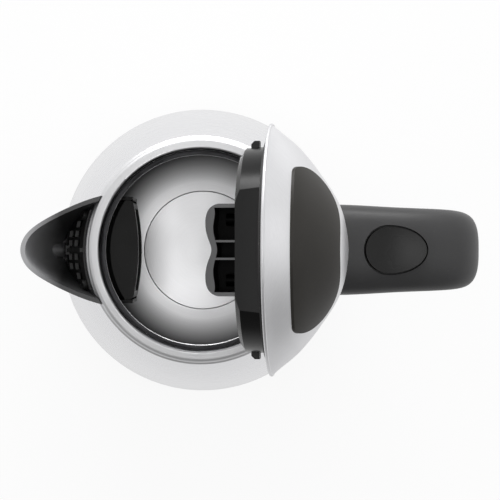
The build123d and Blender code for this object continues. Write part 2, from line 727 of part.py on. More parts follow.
def make_filter_mesh():
    """Fine steel gauze, drawn as a plate with a coarse grid of holes."""
    half = FILTER_HALF_WIDTH - 4 - SEAT
    low = FILTER_BOTTOM_Z + 4 + SEAT
    high = FILTER_TOP_Z - 6 - SEAT
    x = FILTER_INNER_X - 3.6
    sheet = block(x, x + 0.5, -half, half, low, high)
    columns = 9
    rows = 5
    for column in range(columns):
        for row in range(rows):
            y = -half + (column + 0.5) * 2 * half / columns
            z = low + (row + 0.5) * (high - low) / rows
            sheet -= rod_x(1.3, x - 1, x + 2, y, z)
    return sheet


# ================================================================ lid, built shut
def make_lid_shell():
    dome = lid_solid(0) - lid_solid(-LID_WALL)
    bead = revolve(Plane.XZ * Pos(LID_RADIUS - 0.8, LID_Z + 0.3) * Circle(0.8), Axis.Z)
    dome = dome + bead
    dome -= block(LID_NOTCH_X, 80, -LID_NOTCH_HALF, LID_NOTCH_HALF, LID_Z - 3, LID_Z + 30)
    return opened(largest(dome))


def pad_outline():
    rear = [(21.5, 0.0), (19.8, 8.0), (16.0, 16.0), (13.2, 24.0), (13.4, 30.0), (17.5, 34.6), (24.5, 36.9),
            (30.8, 36.7)]
    start = sqrt(PAD_FRONT_RADIUS ** 2 - PAD_CORNER_Y ** 2)
    right = [(-t, y) for t, y in rear]
    left = [(-t, -y) for t, y in reversed(rear[1:])]
    curve = Spline(*([(-start, -PAD_CORNER_Y)] + left + right + [(-start, PAD_CORNER_Y)]))
    front = ThreePointArc(curve @ 1, (-PAD_FRONT_RADIUS, 0), curve @ 0)
    return make_face(curve + front)


def make_lid_pad():
    prism = Pos(0, 0, LID_Z) * extrude(pad_outline(), 60)
    pad = prism & (lid_solid(PAD_WALL) - lid_solid(SEAT))
    return opened(largest(pad))


def deck_top():
    return DECK_LOW + DECK_WALL


def make_lid_deck():
    """Inner plate that closes the dome and carries the hinge and the catches."""
    plate = Pos(0, 0, LID_Z) * disc(DECK_RADIUS, DECK_LOW, deck_top())
    for side in (1, -1):
        y = side * 42.3
        plate -= lid_block(-CATCH_HALF_WIDTH - GAP, CATCH_HALF_WIDTH + GAP, y - 3.8, y + 3.8, -1, 5)
    for side in (1, -1):
        post = lid_block(-3.5, 3.5, min(side * 27, side * 29), max(side * 27, side * 29), -8, DECK_LOW)
        plate += post
    for place in plug_screw_places():
        plate -= place * rod_z(1.35, LID_Z - 1, LID_Z + 5, 0, 0)
    for x, y in arm_screw_places():
        plate -= rod_z(1.2, LID_Z - 1, LID_Z + 5, x, y)
    return opened(plate)


def plug_outer(inset, low):
    """Outside of the plug, cut flat towards the spout."""
    radius = PLUG_RADIUS - inset
    end = PLUG_END_RADIUS - inset
    shape = turned([(0, LID_Z + low), (end - PLUG_CHAMFER, LID_Z + low),
                    (end, LID_Z + low + PLUG_CHAMFER * 0.7), (radius, LID_Z + DECK_LOW),
                    (0, LID_Z + DECK_LOW)])
    front = PLUG_FRONT - inset
    shape -= block(-80, -front, -80, 80, LID_Z - 40, LID_Z + 10)
    return shape


def make_lid_plug():
    cup = plug_outer(SEAT, -PLUG_DEPTH) - plug_outer(PLUG_WALL, -PLUG_DEPTH + PLUG_WALL)
    for side in (1, -1):
        y0, y1 = sorted((side * 42.0, side * 55.0))
        cup -= lid_block(-CATCH_HALF_WIDTH - GAP, CATCH_HALF_WIDTH + GAP, y0, y1, -9.3 - GAP, -5.5 + GAP)
    floor = LID_Z - PLUG_DEPTH + PLUG_WALL
    for place in plug_screw_places():
        cup += place * rod_z(3.0, floor - 0.5, LID_Z + DECK_LOW - SEAT, 0, 0)
        cup -= place * rod_z(1.3, LID_Z - 9, LID_Z + DECK_LOW + 1, 0, 0)
    for x, y in scoop_screw_places():
        cup -= rod_z(1.3, LID_Z - PLUG_DEPTH - 1, floor + 1, x, y)
    return opened(largest(cup))


def make_lid_seal():
    """Silicone ring round the plug, with a flap that lies on the rim."""
    ring = Pos(0, 0, LID_Z) * turned([
        (PLUG_RADIUS + SEAT, -2.2), (RIM_INNER_RADIUS - 0.6, -2.2), (RIM_INNER_RADIUS - 0.3, -0.6),
        (SEAL_OUTER_RADIUS, -0.6), (SEAL_OUTER_RADIUS, DECK_LOW), (PLUG_RADIUS + SEAT, DECK_LOW)])
    return opened(ring)


def scoop_outline(inset, lobe):
    """Two-lobed outline of the steam scoop, across the lid and downwards."""
    half = SCOOP_HALF_WIDTH - inset
    top = 0.0
    depth = -SCOOP_DEPTH + lobe
    side = -SCOOP_DEPTH * 0.62
    points = [(half, side), (half * 0.84, depth * 0.93), (half * 0.57, depth), (half * 0.25, depth * 0.92)]
    mirrored = [(-y, h) for y, h in reversed(points)]
    notch = [(0.0, depth * 0.82)]
    curve = Spline(*(points + notch + mirrored))
    rest = Polyline(curve @ 1, (-half, top), (half, top), curve @ 0)
    return make_face(curve + rest)


def make_steam_scoop():
    plane = Plane(origin=(-SCOOP_FRONT, 0, LID_Z - PLUG_DEPTH), x_dir=(0, 1, 0), z_dir=(1, 0, 0))
    length = SCOOP_FRONT - SCOOP_REAR
    hood = extrude(plane * scoop_outline(0, 0), length)
    cavity = extrude(plane * Pos(0, -SCOOP_WALL) * scoop_outline(SCOOP_WALL, 5.4), length - SCOOP_WALL)
    hood -= cavity
    for side in (1, -1):
        y = side * 4.0
        rib = block(-SCOOP_FRONT, -SCOOP_REAR - 1, y - 0.5, y + 0.5,
                    LID_Z - PLUG_DEPTH - SCOOP_DEPTH * 0.72, LID_Z - PLUG_DEPTH - 1)
        hood += rib
    for x, y in scoop_screw_places():
        top = LID_Z - PLUG_DEPTH
        hood += rod_z(2.8, top - 7.0, top, x, y)
        hood -= rod_z(1.25, top - 6.0, top + 1, x, y)
    return opened(hood)


def make_hinge_arm():
    """Twin arms that tie the lid's deck to the hinge barrel."""
    low = LID_Z + deck_top()
    barrel = rod_y(BARREL_RADIUS, -BARREL_HALF, BARREL_HALF, HINGE_X, HINGE_Z)
    part = barrel
    for side in (1, -1):
        y0, y1 = sorted((side * 5.0, side * BARREL_HALF))
        profile = Polyline((34.0, y0, low), (53.0, y0, low), (HINGE_X + 4.0, y0, HINGE_Z - 1.0),
                           (HINGE_X, y0, HINGE_Z), (HINGE_X - 4.2, y0, HINGE_Z + 0.5),
                           (43.0, y0, low + 5.0), (34.0, y0, low + 3.0), close=True)
        part += extrude(make_face(profile), y1 - y0, dir=(0, 1, 0))
    part -= rod_y(HINGE_PIN_RADIUS + FIT, -30, 30, HINGE_X, HINGE_Z)
    for x, y in arm_screw_places():
        part -= rod_z(1.15, low - 1, low + 2.4, x, y)
    return opened(part)


def arm_screw_places():
    return [(37.5, side * 7.75) for side in (1, -1)]


def make_arm_screws():
    body = screw(1.9, 0.8, 1.1, 4.0)
    low = LID_Z + DECK_LOW
    screws = [Pos(x, y, low) * body for x, y in arm_screw_places()]
    return opened(Compound(children=screws))


def plug_screw_places():
    return [place * Pos(40.0, 0, 0) for place in around(4, 45)]


def make_plug_screws():
    """Screws from the deck down into the plug's posts."""
    body = Rot(180, 0, 0) * screw(2.3, 0.9, 1.25, 7.5)
    top = LID_Z + deck_top()
    return opened(Compound(children=[place * Pos(0, 0, top) * body for place in plug_screw_places()]))


def make_scoop_screws():
    """Screws through the plug's floor into the scoop's ribs."""
    body = Rot(180, 0, 0) * screw(2.3, 0.9, 1.2, 7.0)
    top = LID_Z - PLUG_DEPTH + PLUG_WALL
    screws = [Pos(x, y, top) * body for x, y in scoop_screw_places()]
    return opened(Compound(children=screws))


def scoop_screw_places():
    return [(-8.0, side * 14.0) for side in (1, -1)]


def make_catch_slider():
    """Plate that draws both catches in; its tail meets the release rod."""
    low = deck_top() + 0.4
    high = low + SLIDER_WALL
    plate = lid_block(-14, 22, -13, 13, low, high)
    plate += lid_block(20, 57.7, -ROD_HALF_WIDTH, ROD_HALF_WIDTH, low, high)
    for side in (1, -1):
        start = (0.0, side * 8.0)
        end = (SLIDER_TRAVEL, side * (8.0 - CATCH_TRAVEL))
        for step in range(5):
            share = step / 4
            x = start[0] + (end[0] - start[0]) * share
            y = start[1] + (end[1] - start[1]) * share
            plate -= rod_z(1.2 + GAP, LID_Z, LID_Z + 12, x, y)
    return opened(plate)


def make_catch(side):
    low = deck_top() + 0.4 + SLIDER_WALL + 0.4
    wide = CATCH_HALF_WIDTH
    arm = lid_block(-3, 3, 5.5, 45.0, low, low + 1.6)
    pin = rod_z(1.2, LID_Z + deck_top() + GAP, LID_Z + low + 0.2, 0, 8.0)
    leg = lid_block(-wide, wide, 42.0, 45.0, -9.3, low + 1.6)
    tongue = lid_block(-wide, wide, 44.0, 60.0, -9.3, -5.5)
    tongue = tongue & disc(CATCH_TIP_RADIUS, 100, 200)
    tongue -= Pos(0, CATCH_TIP_RADIUS + 0.4, LID_Z - 9.3) * Rot(45, 0, 0) * Box(20, 3, 3)
    catch = arm + pin + leg + tongue
    if side < 0:
        catch = mirror(catch, about=Plane.XZ)
    return opened(catch)


def make_catch_spring(side):
    length = 42.0 - 29.0 - 2 * SEAT
    spring = Pos(0, 29.0 + SEAT, LID_Z - 3.5) * Rot(-90, 0, 0) * coil(2.0, 0.35, length, 6)
    if side < 0:
        spring = mirror(spring, about=Plane.XZ)
    return opened(spring)


# ================================================================ handle
def handle_section(index, inset):
    x, z, angle, half_width, half_thick = HANDLE_PATH[index]
    ahead = (cos(radians(angle)), 0, sin(radians(angle)))
    plane = Plane(origin=(x, 0, z), x_dir=(0, 1, 0), z_dir=ahead)
    points = []
    count = 20
    for step in range(count):
        turn = 2 * pi * step / count
        c = cos(turn)
        s = sin(turn)
        u = (half_width - inset) * abs(c) ** (2 / HANDLE_POWER) * (1 if c >= 0 else -1)
        v = (half_thick - inset) * abs(s) ** (2 / HANDLE_POWER) * (1 if s >= 0 else -1)
        points.append((u, v))
    return plane * make_face(Spline(*points, periodic=True))


@lru_cache(maxsize=None)
def handle_solid(inset):
    return loft([handle_section(index, inset) for index in range(len(HANDLE_PATH))])


def outer_side():
    """Everything on the outer side of the handle's parting line."""
    points = [(x, 0, z) for x, z, angle, half_width, half_thick in HANDLE_PATH]
    line = Spline(*points)
    first = points[0]
    last = points[-1]
    ends = [line @ 1, (last[0] - 30, 0, last[2] - 8), (last[0] - 30, 0, -60), (260, 0, -60),
            (260, 0, 260), (first[0] - 30, 0, 260), (first[0] - 30, 0, first[2]), line @ 0]
    face = make_face(line + Polyline(*ends))
    return extrude(face, 60, dir=(0, 1, 0), both=True)


@lru_cache(maxsize=None)
def handle_shell():
    """Hollow handle, trimmed to the vessel and to the rim."""
    shell = handle_solid(0) - handle_solid(HANDLE_WALL)
    shell -= body_solid(SEAT)
    shell -= disc(RIM_OUTER_RADIUS + 0.2, 140, 200)
    return shell


def handle_cavity(inset=0.0):
    return handle_solid(HANDLE_WALL + inset)


def grip_inner_x(z):
    """X of the grip's finger side at a height on its way down."""
    for upper, lower in zip(HANDLE_PATH[5:], HANDLE_PATH[6:]):
        if lower[1] <= z <= upper[1]:
            share = (upper[1] - z) / (upper[1] - lower[1])
            faces = [x - half_thick / abs(sin(radians(angle)))
                     for x, height, angle, half_width, half_thick in (upper, lower)]
            return faces[0] + (faces[1] - faces[0]) * share
    raise ValueError("height is off the grip")


def grip_screw_places():
    return [Pos(grip_inner_x(z) + 1.6, 0, z) * Rot(0, 90, 0) for z in GRIP_SCREW_HEIGHTS]


def switch_place():
    """Frame at the switch pivot, X pointing along the paddle at rest."""
    return Pos(SWITCH_X, 0, SWITCH_Z) * Rot(0, SWITCH_REST_ANGLE, 0)


def switch_slot():
    """Room the paddle sweeps through the handle's cover."""
    margin = 11.0
    reach = 40.0
    half = SWITCH_HALF_WIDTH + GAP
    corners = [(SWITCH_X, -half, SWITCH_Z)]
    for angle in (SWITCH_REST_ANGLE - margin, SWITCH_REST_ANGLE + SWITCH_SWING + margin):
        x = SWITCH_X + reach * cos(radians(angle))
        z = SWITCH_Z - reach * sin(radians(angle))
        corners.append((x, -half, z))
    return extrude(make_face(Polyline(*corners, close=True)), 2 * half, dir=(0, 1, 0))


def lens_rod(radius):
    middle = Pos(grip_inner_x(LENS_Z) + 10, 0, LENS_Z) * Rot(0, 90 + 28, 0)
    return middle * Pos(0, 0, 10) * Cylinder(radius, 30)


def bracket_screw_place():
    return Pos(BRACKET_SCREW_X, 0, bracket_low() - 11.0)


def bracket_low():
    return 47.0


def make_handle_cover():
    outside = outer_side()
    cavity = handle_cavity()
    cover = largest(handle_shell() & outside)
    cover -= egg(BUTTON_HALF_WIDTH + BUTTON_GROOVE, BUTTON_NOSE + BUTTON_GROOVE, 168, 190)
    for place in grip_screw_places():
        boss = place * rod_z(3.8, 1, 40, 0, 0)
        cover += boss & cavity & outside
        cover -= (place * rod_z(1.55, 0, 13.0, 0, 0))
    cover -= switch_slot()
    cover -= switch_pin_bar(SEAT)
    cover -= lens_rod(LENS_RADIUS + SEAT)
    cover -= bracket_screw_place() * rod_z(1.7, -20, 20, 0, 0)
    cover -= bracket_screw_place() * rod_z(3.2, -20, 0, 0, 0)
    return largest(cover)


def make_handle_liner():
    outside = outer_side()
    cavity = handle_cavity()
    liner = largest(handle_shell() - outside)
    ledge = block(82, 90, -5, 5, 140, ROD_TAIL_LOW - GAP) & handle_cavity(-0.5)
    liner += ledge
    liner += rod_z(3.0, 140, BUTTON_SPRING_LOW, BUTTON_SPRING_X, BUTTON_SPRING_Y) & handle_cavity(-0.5)
    for place in grip_screw_places():
        boss = place * rod_z(3.8, -1, 40, 0, 0)
        liner += (boss & cavity) - outside
        liner -= place * rod_z(1.7, -1, 40, 0, 0)
        liner -= place * rod_z(3.2, -20, 0, 0, 0)
    liner -= switch_pin_bar(SEAT)
    liner -= rod_x(STEAM_TUBE_RADIUS + SEAT, 50, 75, STEAM_Y, STEAM_Z)
    return largest(liner)


def make_grip_screws():
    body = screw(3.0, 1.0, 1.5, 12.0)
    return Compound(children=[place * body for place in grip_screw_places()])


def make_hinge_mount():
    """Block inside the handle's root with the two ears of the lid hinge."""
    mount = block(RIM_OUTER_RADIUS + 0.8, MOUNT_REAR_X, -19.5, 19.5, 156, 178)
    mount = mount & handle_cavity(SEAT)
    for side in (1, -1):
        y0, y1 = sorted((side * EAR_INNER, side * (EAR_INNER + EAR_WALL)))
        arm = Polyline((64, y0, 163.0), (64, y0, 173.0), (HINGE_X + 3, y0, HINGE_Z + 4.0),
                       (HINGE_X - 4.5, y0, HINGE_Z - 2.2), (59.5, y0, 166.5), close=True)
        ear = extrude(make_face(arm), y1 - y0, dir=(0, 1, 0))
        ear += rod_y(EAR_RADIUS, y0, y1, HINGE_X, HINGE_Z)
        mount += ear
    mount -= rod_y(HINGE_PIN_RADIUS + SEAT, -40, 40, HINGE_X, HINGE_Z)
    mount -= body_solid(SEAT)
    mount -= disc(RIM_OUTER_RADIUS + 0.2, 140, RIM_Z + 0.4)
    mount -= handle_shell()
    half = ROD_HALF_WIDTH + GAP
    mount -= block(50, 90, -half, half, ROD_NOSE_LOW - GAP, ROD_NOSE_HIGH + GAP)
    mount -= rod_x(STEAM_TUBE_RADIUS + GAP, 50, 90, STEAM_Y, STEAM_Z)
    for place in mount_screw_places():
        mount -= place * rod_z(SMALL_SHANK_RADIUS + FIT, -5, 6.5, 0, 0)
    return largest(mount)


def mount_screw_places():
    """Two screws from the vessel's inside out into the hinge block."""
    return [wall_place(MOUNT_SCREW_Z, side * MOUNT_SCREW_ANGLE, -BODY_WALL - HEAD_SEAT) for side in (1, -1)]


def make_mount_screws():
    body = screw(2.2, 0.9, SMALL_SHANK_RADIUS, 6.0)
    return Compound(children=[place * body for place in mount_screw_places()])


def make_hinge_pin():
    half = EAR_INNER + EAR_WALL
    return rod_y(HINGE_PIN_RADIUS, -half, half, HINGE_X, HINGE_Z)


def make_lid_spring():
    """Torsion spring on the hinge pin, one leg on each side of the joint."""
    length = EAR_INNER - BARREL_HALF - 2 * GAP
    spring = Rot(-90, 0, 0) * coil(2.7, 0.4, length, 4)
    spring = Pos(HINGE_X, BARREL_HALF + GAP, HINGE_Z) * spring
    leg = rod_x(0.4, HINGE_X + 2.0, RIM_OUTER_RADIUS + 0.8 + SEAT, EAR_INNER - GAP - 0.4, HINGE_Z - 2.0)
    return spring + leg


def make_release_button():
    cap = egg(BUTTON_HALF_WIDTH, BUTTON_NOSE, BUTTON_FLANGE_Z, BUTTON_TOP_Z)
    top_edges = cap.edges().group_by(Axis.Z)[-1]
    cap = fillet(top_edges, 1.0)
    dish_radius = 100.0
    cap -= Pos(BUTTON_X + 3, 0, BUTTON_TOP_Z + dish_radius - BUTTON_DISH) * Sphere(dish_radius)
    cap += egg(BUTTON_HALF_WIDTH + BUTTON_FLANGE, BUTTON_NOSE + BUTTON_FLANGE,
               BUTTON_FLANGE_Z, BUTTON_FLANGE_Z + 1.5)
    ramp = ROD_TAIL_HIGH + 99.0 + GAP * sqrt(2)
    stem = block(99, 111, -3.5, 3.5, ROD_TAIL_LOW + 2.5, BUTTON_FLANGE_Z + 0.5)
    corners = [(ramp - 150, -10, 150), (ramp - 190, -10, 190), (60, -10, 190), (60, -10, 150)]
    cutter = Polyline(*corners, close=True)
    stem -= extrude(make_face(cutter), 20, dir=(0, 1, 0))
    return cap + stem


def make_button_spring():
    length = BUTTON_FLANGE_Z - BUTTON_SPRING_LOW - 2 * SEAT
    place = Pos(BUTTON_SPRING_X, BUTTON_SPRING_Y, BUTTON_SPRING_LOW + SEAT)
    return place * coil(2.4, 0.4, length, 6)


def make_release_rod():
    """Sliding rod from the button's ramp to the lid."""
    half = ROD_HALF_WIDTH
    nose = block(ROD_NOSE_X, ROD_STEP_X + 2, -half, half, ROD_NOSE_LOW, ROD_NOSE_HIGH)
    step = block(ROD_STEP_X, ROD_STEP_X + 2, -4.5, 4.5, ROD_TAIL_LOW, 174.0)
    tail = block(ROD_STEP_X, ROD_TAIL_X, -half, half, ROD_TAIL_LOW, ROD_TAIL_HIGH)
    ramp = ROD_TAIL_HIGH + 99.0
    corners = [(ramp - 150, -10, 150), (ramp - 190, -10, 190), (140, -10, 190), (140, -10, 150)]
    cutter = Polyline(*corners, close=True)
    tail -= extrude(make_face(cutter), 20, dir=(0, 1, 0))
    return nose + step + tail


def make_rod_spring():
    length = ROD_STEP_X - MOUNT_REAR_X - 2 * SEAT
    middle = (ROD_NOSE_LOW + ROD_NOSE_HIGH) / 2
    return Pos(MOUNT_REAR_X + SEAT, 0, middle) * Rot(0, 90, 0) * coil(3.9, 0.4, length, 3)


def make_steam_tube():
    points = [(58.8, STEAM_Y, STEAM_Z), (66, STEAM_Y, STEAM_Z), (85, STEAM_Y, 155.5), (111.5, STEAM_Y, 154.0),
              (125.8, 11, 148.0), (131.7, 10, 134), (128.6, 10, 112), (117.9, 9.5, 88), (107.0, 9, 72.5)]
    path = Spline(*points, tangents=[(1, 0, 0), (-0.5, 0, -0.86)])
    start = Plane(path @ 0, z_dir=path % 0)
    section = start * (Circle(STEAM_TUBE_RADIUS) - Circle(STEAM_TUBE_BORE))
    return sweep(section, path)


def make_handle_bracket():
    """Steel foot welded on the vessel that the handle's lower end slips over."""
    part = block(70, 98, -8, 8, bracket_low(), bracket_low() + 5)
    part -= body_solid(SEAT)
    part -= bracket_screw_place() * rod_z(1.55, 0, 30, 0, 0)
    return part


def make_bracket_screw():
    return bracket_screw_place() * screw(3.0, 1.0, 1.5, 14.0)


def make_steam_thermostat():
    low = bracket_low() + 5 + SEAT
    part = block(86.5, 96.5, -8, 8, low, low + 7.5)
    part += rod_z(3.5, low + 7.5, low + 8.3, 91.5, 0)
    return part & handle_cavity(SEAT)


def switch_pin_bar(grow):
    bar = rod_y(SWITCH_PIN_RADIUS + grow, -20, 20, SWITCH_X, SWITCH_Z)
    return bar & handle_cavity(-1.0 - grow)


def make_switch_pin():
    return switch_pin_bar(0)


def make_switch_lever():
    half = SWITCH_HALF_WIDTH
    paddle = block(0, SWITCH_REACH, -half, half, -1.6, 1.6)
    tip = Pos(SWITCH_REACH, 0, 0) * Rot(90, 0, 0) * Cylinder(2.4, 2 * half)
    hub = Rot(90, 0, 0) * Cylinder(3.6, 2 * half)
    lever = switch_place() * (paddle + tip + hub)
    return lever - rod_y(SWITCH_PIN_RADIUS + FIT, -30, 30, SWITCH_X, SWITCH_Z)


def make_switch_lens():
    return largest((lens_rod(LENS_RADIUS) & handle_solid(0) & outer_side()) - handle_solid(HANDLE_WALL + 0.6))


# ================================================================ all nodes
NODES = {
    "body_shell": make_body_shell,
    "rim_ring": make_rim_ring,
    "floor_plate": make_floor_plate,
    "heat_spreader": make_heat_spreader,
    "heating_element": make_heating_element,
    "element_terminals": make_element_terminals,
    "control_housing": make_control_housing,
    "control_contacts": make_control_contacts,
    "bimetal_discs": make_bimetal_discs,
    "cover_posts": make_cover_posts,
    "bottom_cover": make_bottom_cover,
    "bottom_seal": make_bottom_seal,
    "bottom_screws": make_bottom_screws,
    "spout": make_spout,
    "spout_gasket": make_spout_gasket,
    "spout_grille": make_spout_grille,
    "spout_screw": make_spout_screw,
    "filter_holder": make_filter_holder,
    "filter_frame": make_filter_frame,
    "filter_mesh": make_filter_mesh,
    "lid_shell": make_lid_shell,
    "lid_pad": make_lid_pad,
    "lid_deck": make_lid_deck,
    "lid_plug": make_lid_plug,
    "lid_seal": make_lid_seal,
    "plug_screws": make_plug_screws,
    "steam_scoop": make_steam_scoop,
    "scoop_screws": make_scoop_screws,
    "hinge_arm": make_hinge_arm,
    "arm_screws": make_arm_screws,
    "catch_slider": make_catch_slider,
    "left_catch": lambda: make_catch(1),
    "right_catch": lambda: make_catch(-1),
    "left_catch_spring": lambda: make_catch_spring(1),
    "right_catch_spring": lambda: make_catch_spring(-1),
    "hinge_mount": make_hinge_mount,
    "mount_screws": make_mount_screws,
    "hinge_pin": make_hinge_pin,
    "lid_spring": make_lid_spring,
    "handle_cover": make_handle_cover,
    "handle_liner": make_handle_liner,
    "grip_screws": make_grip_screws,
    "handle_bracket": make_handle_bracket,
    "bracket_screw": make_bracket_screw,
    "release_button": make_release_button,
    "button_spring": make_button_spring,
    "release_rod": make_release_rod,
    "rod_spring": make_rod_spring,
    "steam_tube": make_steam_tube,
    "steam_thermostat": make_steam_thermostat,
    "switch_lever": make_switch_lever,
    "switch_pin": make_switch_pin,
    "switch_lens": make_switch_lens,
    "base_top": make_base_top,
    "base_bottom": make_base_bottom,
    "base_foot_ring": make_base_foot_ring,
    "base_hub": make_base_hub,
    "base_contacts": make_base_contacts,
    "base_screws": make_base_screws,
    "cord_gland": make_cord_gland,
}


def main():
    os.makedirs("parts", exist_ok=True)
    for name, make in NODES.items():
        export_step(make(), f"parts/{name}.step")


if __name__ == "__main__":
    main()
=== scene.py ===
from math import radians

import bpy
from bpy.props import FloatProperty, FloatVectorProperty, PointerProperty
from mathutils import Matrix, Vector

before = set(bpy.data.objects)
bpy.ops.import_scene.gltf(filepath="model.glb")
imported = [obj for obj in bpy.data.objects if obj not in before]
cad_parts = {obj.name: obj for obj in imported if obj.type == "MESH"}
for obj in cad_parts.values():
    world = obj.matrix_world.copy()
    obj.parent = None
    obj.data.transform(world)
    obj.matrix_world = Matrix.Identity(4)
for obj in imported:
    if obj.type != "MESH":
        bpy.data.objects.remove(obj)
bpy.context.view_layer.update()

FLOOR_WIDTH = 8
FLOOR_GAP = 0.0002

bl_info = {
    "name": "Electric kettle finisher",
    "version": (1, 0, 0),
    "blender": (4, 5, 0),
    "location": "3D View > Sidebar > Kettle",
    "description": "Finishes and studio for a cordless steel kettle",
    "category": "Object",
}


# ---------------------------------------------------------------- sizes and colours
class KettleSteel(bpy.types.PropertyGroup):
    """Steel finishes of the kettle."""
    shell_colour: FloatVectorProperty(
        name="Shell colour", description="Reflected colour of the brushed steel shell and lid",
        subtype="COLOR", size=3, min=0, max=1, default=(0.80, 0.80, 0.815))
    shell_roughness: FloatProperty(
        name="Shell roughness", description="How far the brushing spreads a reflection",
        subtype="FACTOR", min=0, max=1, default=0.27)
    rim_colour: FloatVectorProperty(
        name="Rim colour", description="Reflected colour of the satin rim",
        subtype="COLOR", size=3, min=0, max=1, default=(0.72, 0.72, 0.73))
    streak_height: FloatProperty(
        name="Streak height", description="Depth of the spun streaks",
        subtype="DISTANCE", unit="LENGTH", min=0, max=0.001, precision=6, default=0.000007)


class KettlePlastic(bpy.types.PropertyGroup):
    """Plastic and rubber finishes of the kettle."""
    handle_colour: FloatVectorProperty(
        name="Handle colour", description="Dark grey of the handle and spout mouldings",
        subtype="COLOR", size=3, min=0, max=1, default=(0.040, 0.040, 0.041))
    inner_colour: FloatVectorProperty(
        name="Inner colour", description="Black of the mouldings inside the lid",
        subtype="COLOR", size=3, min=0, max=1, default=(0.012, 0.012, 0.012))
    pad_colour: FloatVectorProperty(
        name="Pad colour", description="Charcoal of the pad on the lid",
        subtype="COLOR", size=3, min=0, max=1, default=(0.030, 0.028, 0.025))
    grain_size: FloatProperty(
        name="Grain size", description="Width of the moulded grain",
        subtype="DISTANCE", unit="LENGTH", min=0.0001, max=0.01, precision=5, default=0.0005)


class KettleStage(bpy.types.PropertyGroup):
    """Floor, lamps and camera."""
    floor_colour: FloatVectorProperty(
        name="Floor colour", description="Colour of the studio floor",
        subtype="COLOR", size=3, min=0, max=1, default=(0.94, 0.94, 0.94))
    camera_height: FloatProperty(
        name="Camera height", description="Height of the lens over the table",
        subtype="DISTANCE", unit="LENGTH", min=0.3, max=5, default=0.865)
    camera_lens: FloatProperty(
        name="Focal length", description="Focal length on a 36 mm wide sensor, in millimetres",
        min=10, max=400, default=98.4)
    lamp_power: FloatProperty(
        name="Lamp power", description="Power that every softbox takes its share of",
        subtype="POWER", min=0, max=1000, default=9.0)


# ---------------------------------------------------------------- node helpers
def clear_nodes(material):
    """Empties a material and returns its node tree."""
    material.use_nodes = True
    material.node_tree.nodes.clear()
    return material.node_tree


def add(tree, kind, **values):
    """Adds one node and sets its plain attributes."""
    node = tree.nodes.new(kind)
    for name, value in values.items():
        setattr(node, name, value)
    return node


def sum_of(tree, operation, first, second):
    """A math node on two inputs, each a socket or a number."""
    node = add(tree, "ShaderNodeMath", operation=operation)
    for socket, value in zip(node.inputs, (first, second)):
        if isinstance(value, (int, float)):
            socket.default_value = value
        else:
            tree.links.new(value, socket)
    return node.outputs[0]


def spread(tree, value, low, high, new_low=0.0, new_high=1.0):
    """Maps a value from one range to another and clamps it."""
    node = add(tree, "ShaderNodeMapRange", clamp=True)
    tree.links.new(value, node.inputs["Value"])
    limits = {"From Min": low, "From Max": high, "To Min": new_low, "To Max": new_high}
    for name, number in limits.items():
        node.inputs[name].default_value = number
    return node.outputs["Result"]


def blend_colour(tree, factor, first, second):
    """Mixes two colours, each a socket or a triple, by a mask."""
    node = add(tree, "ShaderNodeMix", data_type="RGBA")
    tree.links.new(factor, node.inputs["Factor"])
    for name, value in (("A", first), ("B", second)):
        socket = [s for s in node.inputs if s.name == name and s.type == "RGBA"][0]
        if isinstance(value, (tuple, list)):
            socket.default_value = (*value[:3], 1)
        else:
            tree.links.new(value, socket)
    return [s for s in node.outputs if s.type == "RGBA"][0]


def distance_from_axis(tree, x, y):
    """The distance of a point from the kettle's upright axis."""
    squares = sum_of(tree, "ADD", sum_of(tree, "MULTIPLY", x, x), sum_of(tree, "MULTIPLY", y, y))
    return sum_of(tree, "SQRT", squares, 0)


def shade(colour, factor):
    """A colour made lighter or darker."""
    return tuple(min(1.0, part * factor) for part in colour[:3])


def new_group(name, inputs, outputs):
    """An empty shader node group with named sockets, and its two end nodes."""
    tree = bpy.data.node_groups.new(name, "ShaderNodeTree")
    for label, value in inputs:
        socket = tree.interface.new_socket(label, in_out="INPUT", socket_type="NodeSocketFloat")
        socket.default_value = value
    for label in outputs:
        tree.interface.new_socket(label, in_out="OUTPUT", socket_type="NodeSocketFloat")
    return tree, add(tree, "NodeGroupInput"), add(tree, "NodeGroupOutput")


def noise(tree, vector, scale, detail=2.0, roughness=0.5):
    """A noise texture's value."""
    node = add(tree, "ShaderNodeTexNoise")
    tree.links.new(vector, node.inputs["Vector"])
    if isinstance(scale, (int, float)):
        node.inputs["Scale"].default_value = scale
    else:
        tree.links.new(scale, node.inputs["Scale"])
    node.inputs["Detail"].default_value = detail
    node.inputs["Roughness"].default_value = roughness
    return node.outputs["Fac"]


# ---------------------------------------------------------------- shared effects
def group_spun_streaks():
    """Fine rings left by brushing a turned shell, and slow changes of tone along them."""
    inputs = [("Fineness", 2600.0), ("Sweep", 5.0)]
    tree, start, end = new_group("spun_streaks", inputs, ["Streak", "Band"])
    place = add(tree, "ShaderNodeTexCoord").outputs["Object"]
    split = add(tree, "ShaderNodeSeparateXYZ")
    tree.links.new(place, split.inputs[0])
    x, y, z = split.outputs
    angle = sum_of(tree, "ARCTAN2", y, x)
    radius = distance_from_axis(tree, x, y)
    along = sum_of(tree, "MULTIPLY", sum_of(tree, "SUBTRACT", z, radius), start.outputs["Fineness"])
    ring = add(tree, "ShaderNodeCombineXYZ")
    for operation, socket in (("COSINE", ring.inputs[0]), ("SINE", ring.inputs[1])):
        turned = sum_of(tree, operation, angle, 0)
        tree.links.new(sum_of(tree, "MULTIPLY", turned, start.outputs["Sweep"]), socket)
    tree.links.new(along, ring.inputs[2])
    tree.links.new(noise(tree, ring.outputs[0], 1.0, 3.0, 0.6), end.inputs["Streak"])
    tree.links.new(noise(tree, place, 22.0, 1.0), end.inputs["Band"])
    return tree


